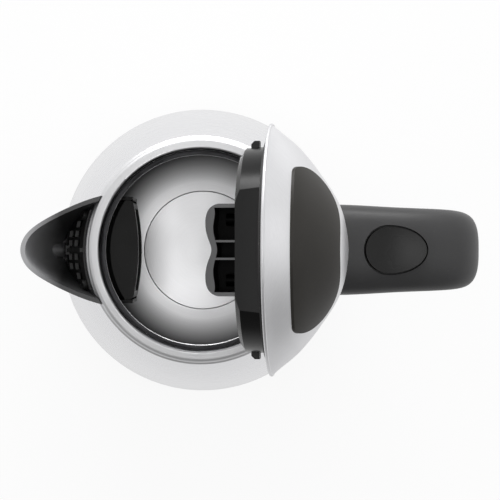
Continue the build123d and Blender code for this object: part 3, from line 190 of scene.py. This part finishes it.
def group_mould_grain():
    """Fine spark-eroded grain of a moulding, with a slow change of gloss."""
    tree, start, end = new_group("mould_grain", [("Grain size", 0.0005)], ["Height", "Gloss"])
    place = add(tree, "ShaderNodeTexCoord").outputs["Object"]
    scale = sum_of(tree, "DIVIDE", 1.0, start.outputs["Grain size"])
    cells = add(tree, "ShaderNodeTexVoronoi", feature="SMOOTH_F1")
    tree.links.new(place, cells.inputs["Vector"])
    tree.links.new(scale, cells.inputs["Scale"])
    fine = noise(tree, place, scale, 2.0)
    height = sum_of(tree, "ADD", cells.outputs["Distance"], sum_of(tree, "MULTIPLY", fine, 0.6))
    tree.links.new(height, end.inputs["Height"])
    tree.links.new(noise(tree, place, 35.0, 3.0), end.inputs["Gloss"])
    return tree


def group_edge_wear_and_highlight():
    """A mask that rises on convex and concave edges, broken up as handling breaks it up; it marks edges
    made lighter partly by wear and partly as a painted highlight.
    """
    tree, start, end = new_group("edge_wear_and_highlight", [("Width", 0.0004), ("Break up", 0.5)], ["Mask"])
    rounded = add(tree, "ShaderNodeBevel", samples=4)
    tree.links.new(start.outputs["Width"], rounded.inputs["Radius"])
    flat = add(tree, "ShaderNodeNewGeometry").outputs["Normal"]
    dot = add(tree, "ShaderNodeVectorMath", operation="DOT_PRODUCT")
    tree.links.new(rounded.outputs["Normal"], dot.inputs[0])
    tree.links.new(flat, dot.inputs[1])
    turn = spread(tree, dot.outputs["Value"], 0.995, 0.80)
    place = add(tree, "ShaderNodeTexCoord").outputs["Object"]
    broken = spread(tree, noise(tree, place, 160.0, 2.0), 0.35, 0.65)
    lost = sum_of(tree, "MULTIPLY", sum_of(tree, "SUBTRACT", 1.0, broken), start.outputs["Break up"])
    kept = sum_of(tree, "SUBTRACT", 1.0, lost)
    tree.links.new(sum_of(tree, "MULTIPLY", turn, kept), end.inputs["Mask"])
    return tree


def group_settled_dust():
    """Faint dust that lies on upward faces."""
    tree, start, end = new_group("settled_dust", [("Amount", 0.1)], ["Mask"])
    facing = add(tree, "ShaderNodeSeparateXYZ")
    tree.links.new(add(tree, "ShaderNodeNewGeometry").outputs["Normal"], facing.inputs[0])
    up = spread(tree, facing.outputs["Z"], 0.2, 1.0)
    place = add(tree, "ShaderNodeTexCoord").outputs["Object"]
    specks = spread(tree, noise(tree, place, 900.0, 2.0), 0.62, 0.74)
    film = spread(tree, noise(tree, place, 30.0, 2.0), 0.3, 0.8, 0.15, 0.6)
    lain = sum_of(tree, "MULTIPLY", up, sum_of(tree, "MAXIMUM", specks, film))
    tree.links.new(sum_of(tree, "MULTIPLY", lain, start.outputs["Amount"]), end.inputs["Mask"])
    return tree


def group_pressed_relief_painted_shade():
    """Bump that imitates a slightly domed disc and a ring that turns up; the CAD floor is flat there. A
    second mask gives painted shade on the floor outside the disc.
    """
    inputs = [("Disc radius", 0.035), ("Dome", 0.5), ("Tilt", 0.20), ("Turn up", 6.0)]
    tree, start, end = new_group("pressed_relief_painted_shade", inputs, ["Height", "Painted shade"])
    split = add(tree, "ShaderNodeSeparateXYZ")
    tree.links.new(add(tree, "ShaderNodeTexCoord").outputs["Object"], split.inputs[0])
    x, y = split.outputs[0], split.outputs[1]
    radius = distance_from_axis(tree, x, y)
    inner = sum_of(tree, "MINIMUM", radius, start.outputs["Disc radius"])
    domed = sum_of(tree, "MULTIPLY", sum_of(tree, "MULTIPLY", inner, inner), start.outputs["Dome"])
    past_disc = sum_of(tree, "SUBTRACT", radius, start.outputs["Disc radius"])
    outside = sum_of(tree, "MAXIMUM", past_disc, 0.0)
    squared = sum_of(tree, "MULTIPLY", outside, outside)
    turned_up = sum_of(tree, "MULTIPLY", squared, start.outputs["Turn up"])
    turned_up = sum_of(tree, "ADD", turned_up, sum_of(tree, "MULTIPLY", outside, start.outputs["Tilt"]))
    height = sum_of(tree, "MULTIPLY", sum_of(tree, "SUBTRACT", turned_up, domed), 0.5)
    tree.links.new(height, end.inputs["Height"])
    tree.links.new(spread(tree, past_disc, 0.006, 0.022), end.inputs["Painted shade"])
    return tree


def group_neck_painted_shade():
    """A mask for painted shade on the turned ledge inside the rim, above the neck's bead."""
    inputs = [("Ledge radius", 0.0526), ("Bead top", 0.1559)]
    tree, start, end = new_group("neck_painted_shade", inputs, ["Mask"])
    split = add(tree, "ShaderNodeSeparateXYZ")
    tree.links.new(add(tree, "ShaderNodeTexCoord").outputs["Object"], split.inputs[0])
    x, y, z = split.outputs
    radius = distance_from_axis(tree, x, y)
    inward = sum_of(tree, "SUBTRACT", start.outputs["Ledge radius"], radius)
    above = sum_of(tree, "SUBTRACT", z, start.outputs["Bead top"])
    inside = spread(tree, inward, -0.0005, 0.0006)
    mask = sum_of(tree, "MULTIPLY", inside, spread(tree, above, 0.0, 0.0003))
    tree.links.new(mask, end.inputs["Mask"])
    return tree


def group_painted_light_by_height():
    """A mask that rises with height, for painted shade in a deep recess and painted light on its outer
    faces.
    """
    tree, start, end = new_group("painted_light_by_height", [("Low", 0.242), ("High", 0.249)], ["Mask"])
    split = add(tree, "ShaderNodeSeparateXYZ")
    tree.links.new(add(tree, "ShaderNodeTexCoord").outputs["Object"], split.inputs[0])
    above = sum_of(tree, "SUBTRACT", split.outputs["Z"], start.outputs["Low"])
    length = sum_of(tree, "SUBTRACT", start.outputs["High"], start.outputs["Low"])
    share = sum_of(tree, "DIVIDE", above, length)
    tree.links.new(spread(tree, share, 0.0, 1.0), end.inputs["Mask"])
    return tree


def group_painted_tip_sheen():
    """A mask for painted sheen on the upward faces of the spout, rising towards its tip."""
    tree, start, end = new_group("painted_tip_sheen", [("Root", 0.074), ("Tip", 0.090)], ["Mask"])
    split = add(tree, "ShaderNodeSeparateXYZ")
    tree.links.new(add(tree, "ShaderNodeTexCoord").outputs["Object"], split.inputs[0])
    x, y = split.outputs[0], split.outputs[1]
    radius = distance_from_axis(tree, x, y)
    past = sum_of(tree, "SUBTRACT", radius, start.outputs["Root"])
    length = sum_of(tree, "SUBTRACT", start.outputs["Tip"], start.outputs["Root"])
    share = sum_of(tree, "DIVIDE", past, length)
    facing = add(tree, "ShaderNodeSeparateXYZ")
    tree.links.new(add(tree, "ShaderNodeNewGeometry").outputs["Normal"], facing.inputs[0])
    up = spread(tree, facing.outputs["Z"], 0.0, 0.08)
    tree.links.new(sum_of(tree, "MULTIPLY", spread(tree, share, 0.0, 1.0), up), end.inputs["Mask"])
    return tree


def effect(tree, name, **values):
    """Places a shared effect in a material with its own values."""
    node = add(tree, "ShaderNodeGroup")
    node.node_tree = bpy.data.node_groups[name]
    for label, value in values.items():
        node.inputs[label.replace("_", " ")].default_value = value
    return node


# ---------------------------------------------------------------- materials
def principled(tree, colour, roughness, metallic=0.0):
    """A surface shader with its output."""
    shader = add(tree, "ShaderNodeBsdfPrincipled")
    shader.inputs["Base Color"].default_value = (*colour[:3], 1)
    shader.inputs["Roughness"].default_value = roughness
    shader.inputs["Metallic"].default_value = metallic
    output = add(tree, "ShaderNodeOutputMaterial")
    tree.links.new(shader.outputs[0], output.inputs["Surface"])
    return shader


def bump(tree, shader, height, distance, under=None):
    """Feeds a height to the shader's normal, over another bump if there is one, and returns its node."""
    node = add(tree, "ShaderNodeBump")
    node.inputs["Distance"].default_value = distance
    tree.links.new(height, node.inputs["Height"])
    if under:
        tree.links.new(under.outputs["Normal"], node.inputs["Normal"])
    tree.links.new(node.outputs["Normal"], shader.inputs["Normal"])
    return node


def spun_steel(name, colour, roughness, streak, fineness=2600.0, sweep=5.0, pressed=False):
    """Steel that was brushed as it turned, with the floor's pressed relief and its painted shade where it
    is asked for.
    """
    material = bpy.data.materials.new(name)
    tree = clear_nodes(material)
    shader = principled(tree, colour, roughness, 1.0)
    shader.inputs["Anisotropic"].default_value = 0.35
    streaks = effect(tree, "spun_streaks", Fineness=fineness, Sweep=sweep)
    streaky = spread(tree, streaks.outputs["Streak"], 0.3, 0.7)
    tone = blend_colour(tree, streaky, shade(colour, 0.96), shade(colour, 1.03))
    tree.links.new(tone, shader.inputs["Base Color"])
    cloudy = spread(tree, streaks.outputs["Band"], 0.3, 0.7, roughness * 0.92, roughness * 1.08)
    scratchy = spread(tree, streaks.outputs["Streak"], 0.3, 0.7, -0.03, 0.03)
    tree.links.new(sum_of(tree, "ADD", cloudy, scratchy), shader.inputs["Roughness"])
    relief = None
    if pressed:
        pressing = effect(tree, "pressed_relief_painted_shade")
        relief = bump(tree, shader, pressing.outputs["Height"], 1.0)
        # Painted shade darkens the floor outside the disc.
        painted_floor_shade = blend_colour(tree, pressing.outputs["Painted shade"], tone, shade(colour, 0.12))
        tree.links.new(painted_floor_shade, shader.inputs["Base Color"])
    bump(tree, shader, streaks.outputs["Streak"], streak, relief)
    return material


def rim_steel(name, colour, roughness):
    """Satin steel with faint turning marks, and painted shade broken by turning rings on the ledge inside
    the rim.
    """
    material = bpy.data.materials.new(name)
    tree = clear_nodes(material)
    shader = principled(tree, colour, roughness, 1.0)
    streaks = effect(tree, "spun_streaks", Fineness=900.0, Sweep=3.0)
    banded = spread(tree, streaks.outputs["Band"], 0.3, 0.7)
    tone = blend_colour(tree, banded, shade(colour, 0.96), shade(colour, 1.03))
    # The ledge inside the rim gets a painted shade, near black with faint rings.
    painted_ledge_shade = effect(tree, "neck_painted_shade").outputs["Mask"]
    rings = spread(tree, streaks.outputs["Streak"], 0.35, 0.65)
    ledge = blend_colour(tree, rings, (0.015, 0.015, 0.016), (0.09, 0.09, 0.095))
    tree.links.new(blend_colour(tree, painted_ledge_shade, tone, ledge), shader.inputs["Base Color"])
    haze = spread(tree, streaks.outputs["Streak"], 0.35, 0.75, roughness * 0.8, roughness * 1.35)
    tree.links.new(haze, shader.inputs["Roughness"])
    bump(tree, shader, streaks.outputs["Streak"], 0.000004)
    return material


def works_metal(name, colour, roughness, tint=None):
    """Pressed or drawn metal of the inner works, with mill marks and, where heated, a tint."""
    material = bpy.data.materials.new(name)
    tree = clear_nodes(material)
    shader = principled(tree, colour, roughness, 1.0)
    grain = effect(tree, "mould_grain", Grain_size=0.0011)
    wear_and_highlight_mask = effect(tree, "edge_wear_and_highlight", Width=0.0003, Break_up=0.4)
    mottle = spread(tree, grain.outputs["Gloss"], 0.35, 0.65)
    base = blend_colour(tree, mottle, shade(colour, 0.86), tint or shade(colour, 1.05))
    # Edges are made lighter, partly as wear and partly as a painted highlight.
    tone = blend_colour(tree, wear_and_highlight_mask.outputs["Mask"], base, shade(colour, 1.25))
    tree.links.new(tone, shader.inputs["Base Color"])
    rough = spread(tree, grain.outputs["Gloss"], 0.3, 0.7, roughness * 0.8, roughness * 1.25)
    tree.links.new(rough, shader.inputs["Roughness"])
    bump(tree, shader, grain.outputs["Height"], 0.00001)
    return material


def moulding(name, colour, roughness, grain_size, grain_height, wear_and_highlight=0.4, dust=0.04, coat=0.0,
             gloss=0.35, painted_light=None, where=None):
    """Moulded plastic or rubber: grain, cloudy gloss, edges lighter partly from wear and partly as a
    painted highlight, dust and, where asked, a part with painted light.
    """
    material = bpy.data.materials.new(name)
    tree = clear_nodes(material)
    shader = principled(tree, colour, roughness)
    shader.inputs["Specular IOR Level"].default_value = gloss
    shader.inputs["Coat Weight"].default_value = coat
    shader.inputs["Coat Roughness"].default_value = 0.06
    grain = effect(tree, "mould_grain", Grain_size=grain_size)
    cloud = spread(tree, grain.outputs["Gloss"], 0.3, 0.7)
    base = blend_colour(tree, cloud, shade(colour, 0.88), shade(colour, 1.12))
    # Where asked, a mask lays a painted light colour over part of the moulding.
    if painted_light:
        base = blend_colour(tree, effect(tree, where).outputs["Mask"], base, painted_light)
    wear_and_highlight_mask = effect(tree, "edge_wear_and_highlight", Width=0.00035, Break_up=0.6)
    edge_wear_and_highlight_share = sum_of(tree, "MULTIPLY", wear_and_highlight_mask.outputs["Mask"], wear_and_highlight)
    # Edges are made lighter, partly as wear and partly as a painted highlight.
    base = blend_colour(tree, edge_wear_and_highlight_share, base, shade(colour, 2.6))
    lain = effect(tree, "settled_dust", Amount=dust)
    base = blend_colour(tree, lain.outputs["Mask"], base, (0.42, 0.41, 0.40))
    tree.links.new(base, shader.inputs["Base Color"])
    rough = spread(tree, grain.outputs["Gloss"], 0.3, 0.7, roughness * 0.9, roughness * 1.12)
    rough = sum_of(tree, "ADD", rough, sum_of(tree, "MULTIPLY", lain.outputs["Mask"], 0.3))
    tree.links.new(rough, shader.inputs["Roughness"])
    bump(tree, shader, grain.outputs["Height"], grain_height)
    return material


def finish(material, *names):
    """Gives CAD nodes a material."""
    for name in names:
        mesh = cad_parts[name].data
        mesh.materials.clear()
        mesh.materials.append(material)


# ---------------------------------------------------------------- lamps
def soft_lamp(name, place, aim, size, power):
    """A rectangular softbox at a place, turned to a point."""
    data = bpy.data.lights.new(name, "AREA")
    data.shape = "RECTANGLE"
    data.size, data.size_y = size
    data.energy = power
    lamp = bpy.data.objects.new(name, data)
    bpy.context.scene.collection.objects.link(lamp)
    lamp.location = place
    lamp.rotation_euler = (Vector(aim) - Vector(place)).to_track_quat("-Z", "Y").to_euler()
    return lamp


# ---------------------------------------------------------------- operators
class KETTLE_OT_effects(bpy.types.Operator):
    """Builds the shared surface effects."""
    bl_idname = "kettle.effects"
    bl_label = "Surface effects"

    def execute(self, context):
        group_spun_streaks()
        group_mould_grain()
        group_edge_wear_and_highlight()
        group_settled_dust()
        group_pressed_relief_painted_shade()
        group_neck_painted_shade()
        group_painted_tip_sheen()
        group_painted_light_by_height()
        return {"FINISHED"}


class KETTLE_OT_vessel_steel(bpy.types.Operator):
    """Brushed shell and lid, satin rim and the spun floor with its heated disc."""
    bl_idname = "kettle.vessel_steel"
    bl_label = "Vessel steel"

    def execute(self, context):
        steel = context.scene.kettle_steel
        colour, roughness = tuple(steel.shell_colour), steel.shell_roughness
        shell = spun_steel("brushed_shell_steel", colour, roughness, steel.streak_height)
        finish(shell, "body_shell")
        # The lid is the shell's steel at 0.94 of its colour, as painted shade.
        lid = spun_steel("brushed_lid_steel_painted_shade", shade(colour, 0.94), roughness + 0.13,
                         steel.streak_height, sweep=9.0)
        finish(lid, "lid_shell")
        finish(rim_steel("satin_rim_steel", tuple(steel.rim_colour), 0.46), "rim_ring")
        # The floor plate is the kettle's steel made lighter, as painted light.
        floor = spun_steel("spun_floor_steel_painted_light", (0.93, 0.93, 0.94), 0.40, 0.000003, fineness=5000.0,
                           sweep=2.0, pressed=True)
        finish(floor, "floor_plate")
        return {"FINISHED"}


class KETTLE_OT_works(bpy.types.Operator):
    """Metals of the heater, the springs, the screws and the contacts."""
    bl_idname = "kettle.works"
    bl_label = "Inner works"

    def execute(self, context):
        finish(works_metal("cast_aluminium", (0.62, 0.62, 0.63), 0.45), "heat_spreader")
        sheath = works_metal("sheath_steel", (0.42, 0.40, 0.38), 0.38, (0.40, 0.33, 0.24))
        finish(sheath, "heating_element")
        finish(works_metal("turned_brass", (0.72, 0.52, 0.22), 0.28),
               "control_contacts", "base_contacts", "element_terminals")
        finish(works_metal("bimetal_disc_metal", (0.60, 0.52, 0.42), 0.30),
               "bimetal_discs", "steam_thermostat")
        finish(works_metal("drawn_spring_wire", (0.48, 0.48, 0.50), 0.25),
               "lid_spring", "left_catch_spring", "right_catch_spring", "button_spring", "rod_spring")
        finish(works_metal("plated_screw_steel", (0.62, 0.62, 0.64), 0.26),
               "bottom_screws", "spout_screw", "plug_screws", "scoop_screws", "arm_screws",
               "mount_screws", "grip_screws", "bracket_screw", "base_screws",
               "hinge_pin", "switch_pin", "cover_posts")
        finish(works_metal("pressed_filter_gauze", (0.30, 0.30, 0.31), 0.35), "filter_mesh")
        return {"FINISHED"}


class KETTLE_OT_mouldings(bpy.types.Operator):
    """Plastic, silicone and rubber of the handle, spout, lid and base."""
    bl_idname = "kettle.mouldings"
    bl_label = "Mouldings"

    def execute(self, context):
        plastic = context.scene.kettle_plastic
        grain = plastic.grain_size
        dark = tuple(plastic.handle_colour)
        inner = tuple(plastic.inner_colour)
        finish(moulding("handle_satin_plastic", dark, 0.42, grain, 0.000018, gloss=0.28),
               "handle_cover", "handle_liner", "handle_bracket")
        # The spout gets a painted sheen, paler on its upward faces towards the tip.
        spout = moulding("spout_satin_plastic", shade(dark, 0.9), 0.34, grain, 0.000014, gloss=0.5,
                         painted_light=(0.42, 0.42, 0.43), where="painted_tip_sheen")
        finish(spout, "spout")
        finish(moulding("grille_plastic", inner, 0.34, grain, 0.00001, gloss=0.2), "spout_grille")
        finish(moulding("filter_plastic", shade(inner, 0.5), 0.36, grain, 0.00001, gloss=0.1),
               "filter_frame", "filter_holder")
        button = moulding("button_gloss_plastic", (0.012, 0.012, 0.012), 0.28, grain * 0.8, 0.000006,
                          gloss=0.2)
        finish(button, "release_button")
        pad = moulding("lid_pad_plastic", tuple(plastic.pad_colour), 0.40, grain, 0.00001, wear_and_highlight=0.3,
                       gloss=0.15)
        finish(pad, "lid_pad")
        plug = moulding("inner_lid_plastic", shade(inner, 0.3), 0.24, grain, 0.000003, wear_and_highlight=0.2,
                        dust=0.0, gloss=0.18)
        finish(plug, "lid_deck", "lid_plug")
        # The scoop's mouth is near black as painted shade, and its lip is paler as painted light.
        scoop = moulding("scoop_satin_plastic", shade(inner, 0.1), 0.30, grain, 0.000003, wear_and_highlight=0.4,
                         dust=0.0, gloss=0.04, painted_light=(0.34, 0.34, 0.345), where="painted_light_by_height")
        finish(scoop, "steam_scoop")
        finish(moulding("catch_plastic", (0.008, 0.008, 0.008), 0.34, grain, 0.00001, gloss=0.25),
               "left_catch", "right_catch", "catch_slider", "release_rod", "hinge_arm", "hinge_mount")
        finish(moulding("base_satin_plastic", dark, 0.45, grain * 1.2, 0.00002),
               "base_top", "base_bottom", "base_hub", "bottom_cover", "switch_lever")
        finish(moulding("control_grey_plastic", (0.20, 0.195, 0.185), 0.48, grain, 0.00002),
               "control_housing")
        seal = moulding("seal_silicone", (0.016, 0.016, 0.017), 0.50, grain * 0.6, 0.00001, wear_and_highlight=0.1,
                        dust=0.2)
        finish(seal, "lid_seal", "bottom_seal", "spout_gasket")
        finish(moulding("tube_silicone", (0.56, 0.54, 0.50), 0.35, grain * 0.6, 0.00001, wear_and_highlight=0.1),
               "steam_tube")
        foot = moulding("foot_rubber", (0.030, 0.030, 0.030), 0.62, grain * 1.6, 0.00003, wear_and_highlight=0.2,
                        dust=0.25)
        finish(foot, "base_foot_ring", "cord_gland")
        lens = moulding("lens_red_plastic", (0.45, 0.05, 0.03), 0.14, grain * 2, 0.000006, wear_and_highlight=0.2,
                        coat=0.6)
        finish(lens, "switch_lens")
        return {"FINISHED"}


class KETTLE_OT_stage(bpy.types.Operator):
    """White floor, softboxes, plain world and the camera over the kettle."""
    bl_idname = "kettle.stage"
    bl_label = "Stage"

    def execute(self, context):
        stage = context.scene.kettle_stage
        self.floor(stage)
        self.world(context)
        self.lamps(stage)
        self.camera(context, stage)
        context.scene.view_settings.view_transform = "Standard"
        return {"FINISHED"}

    def floor(self, stage):
        bpy.ops.object.select_all(action="DESELECT")
        bpy.ops.mesh.primitive_plane_add(size=FLOOR_WIDTH, location=(0, 0, -FLOOR_GAP))
        floor = bpy.context.object
        floor.name = "studio_floor"
        bpy.ops.object.transform_apply(location=True, rotation=True, scale=True)
        material = bpy.data.materials.new("studio_floor_white")
        tree = clear_nodes(material)
        shader = principled(tree, tuple(stage.floor_colour), 0.9)
        path = add(tree, "ShaderNodeLightPath")
        glossy, passed = path.outputs["Is Glossy Ray"], path.outputs["Is Transmission Ray"]
        mirrored = sum_of(tree, "MAXIMUM", glossy, passed)
        split = add(tree, "ShaderNodeSeparateXYZ")
        tree.links.new(add(tree, "ShaderNodeTexCoord").outputs["Object"], split.inputs[0])
        # Seen in reflections, the floor glows with painted shade, darker towards -Y and far out; camera
        # rays see it white.
        near = spread(tree, split.outputs["Y"], -0.3, 0.3, 0.80, 1.0)
        level = sum_of(tree, "MULTIPLY", near, spread(tree, split.outputs["Y"], -1.3, -0.45, 0.30, 1.0))
        grey = add(tree, "ShaderNodeCombineColor")
        for socket in grey.inputs:
            tree.links.new(level, socket)
        glow = add(tree, "ShaderNodeEmission")
        tree.links.new(blend_colour(tree, mirrored, (1, 1, 1), grey.outputs[0]), glow.inputs["Color"])
        mix = add(tree, "ShaderNodeMixShader")
        seen = sum_of(tree, "MAXIMUM", path.outputs["Is Camera Ray"], mirrored)
        tree.links.new(sum_of(tree, "MULTIPLY", seen, 0.9), mix.inputs[0])
        tree.links.new(shader.outputs[0], mix.inputs[1])
        tree.links.new(glow.outputs[0], mix.inputs[2])
        output = [n for n in tree.nodes if n.type == "OUTPUT_MATERIAL"][0]
        tree.links.new(mix.outputs[0], output.inputs["Surface"])
        floor.data.materials.append(material)

    def world(self, context):
        world = bpy.data.worlds.new("studio_world")
        context.scene.world = world
        world.use_nodes = True
        tree = world.node_tree
        tree.nodes.clear()
        output = add(tree, "ShaderNodeOutputWorld")
        split = add(tree, "ShaderNodeSeparateXYZ")
        tree.links.new(add(tree, "ShaderNodeTexCoord").outputs["Generated"], split.inputs[0])
        ramp = add(tree, "ShaderNodeValToRGB")
        tree.links.new(spread(tree, split.outputs["Z"], -1.0, 1.0), ramp.inputs[0])
        stops = ramp.color_ramp.elements
        stops[0].position, stops[0].color = 0.0, (0.9, 0.9, 0.9, 1)
        stops[1].position, stops[1].color = 1.0, (0.62, 0.62, 0.62, 1)
        for position, level in ((0.5, 1.0), (0.64, 0.95), (0.80, 0.85), (0.92, 0.68)):
            stop = stops.new(position)
            stop.color = (level, level, level, 1)
        soft = add(tree, "ShaderNodeBackground")
        tree.links.new(ramp.outputs[0], soft.inputs["Color"])
        sides = add(tree, "ShaderNodeValToRGB")
        tree.links.new(spread(tree, split.outputs["Y"], -1.0, 1.0), sides.inputs[0])
        stops = sides.color_ramp.elements
        stops[0].position, stops[0].color = 0.15, (0.28, 0.28, 0.28, 1)
        stops[1].position, stops[1].color = 0.85, (1.0, 1.0, 1.0, 1)
        middle = stops.new(0.48)
        middle.color = (0.85, 0.85, 0.85, 1)
        tree.links.new(sides.outputs[0], soft.inputs["Strength"])
        white = add(tree, "ShaderNodeBackground")
        white.inputs["Strength"].default_value = 1.0
        white.inputs["Color"].default_value = (1, 1, 1, 1)
        mix = add(tree, "ShaderNodeMixShader")
        tree.links.new(add(tree, "ShaderNodeLightPath").outputs["Is Camera Ray"], mix.inputs[0])
        tree.links.new(soft.outputs[0], mix.inputs[1])
        tree.links.new(white.outputs[0], mix.inputs[2])
        tree.links.new(mix.outputs[0], output.inputs["Surface"])

    def lamps(self, stage):
        power = stage.lamp_power
        soft_lamp("zenith_lamp", (-0.02, 0.0, 1.9), (0, 0, 0.1), (0.6, 0.6), power * 0.34)
        soft_lamp("back_softbox", (0.1, 1.5, 0.85), (0, 0, 0.14), (1.6, 0.5), power * 0.8)
        soft_lamp("low_strip", (0.0, 1.6, 0.42), (0, 0, 0.25), (1.3, 0.36), power * 1.6)
        soft_lamp("right_softbox", (1.35, 0.1, 1.15), (0, 0, 0.12), (1.0, 1.0), power * 0.15)

    def camera(self, context, stage):
        data = bpy.data.cameras.new("studio_camera")
        data.sensor_width = 36.0
        data.lens = stage.camera_lens
        data.shift_x = 0.06
        data.clip_end = 50.0
        camera = bpy.data.objects.new("studio_camera", data)
        context.scene.collection.objects.link(camera)
        camera.location = (0.010, 0.0, stage.camera_height)
        context.scene.camera = camera


class KETTLE_PT_panel(bpy.types.Panel):
    """The kettle's steps and values in the 3D view's sidebar."""
    bl_idname = "KETTLE_PT_panel"
    bl_label = "Electric kettle"
    bl_space_type = "VIEW_3D"
    bl_region_type = "UI"
    bl_category = "Kettle"

    def draw(self, context):
        layout = self.layout
        for operator in OPERATORS:
            layout.operator(operator.bl_idname)
        for name, kind in SETTINGS:
            box = layout.box()
            for value in kind.__annotations__:
                box.prop(getattr(context.scene, name), value)


OPERATORS = (KETTLE_OT_effects, KETTLE_OT_vessel_steel, KETTLE_OT_works, KETTLE_OT_mouldings,
             KETTLE_OT_stage)
SETTINGS = (("kettle_steel", KettleSteel), ("kettle_plastic", KettlePlastic),
            ("kettle_stage", KettleStage))


def register():
    """Registers the settings, the operators and the panel."""
    for name, group in SETTINGS:
        bpy.utils.register_class(group)
        setattr(bpy.types.Scene, name, PointerProperty(type=group))
    for operator in OPERATORS:
        bpy.utils.register_class(operator)
    bpy.utils.register_class(KETTLE_PT_panel)


def unregister():
    """Removes what register added."""
    bpy.utils.unregister_class(KETTLE_PT_panel)
    for operator in reversed(OPERATORS):
        bpy.utils.unregister_class(operator)
    for name, group in reversed(SETTINGS):
        delattr(bpy.types.Scene, name)
        bpy.utils.unregister_class(group)


def main():
    """Runs every step in order."""
    register()
    bpy.ops.kettle.effects()
    bpy.ops.kettle.vessel_steel()
    bpy.ops.kettle.works()
    bpy.ops.kettle.mouldings()
    bpy.ops.kettle.stage()


if __name__ == "__main__":
    main()
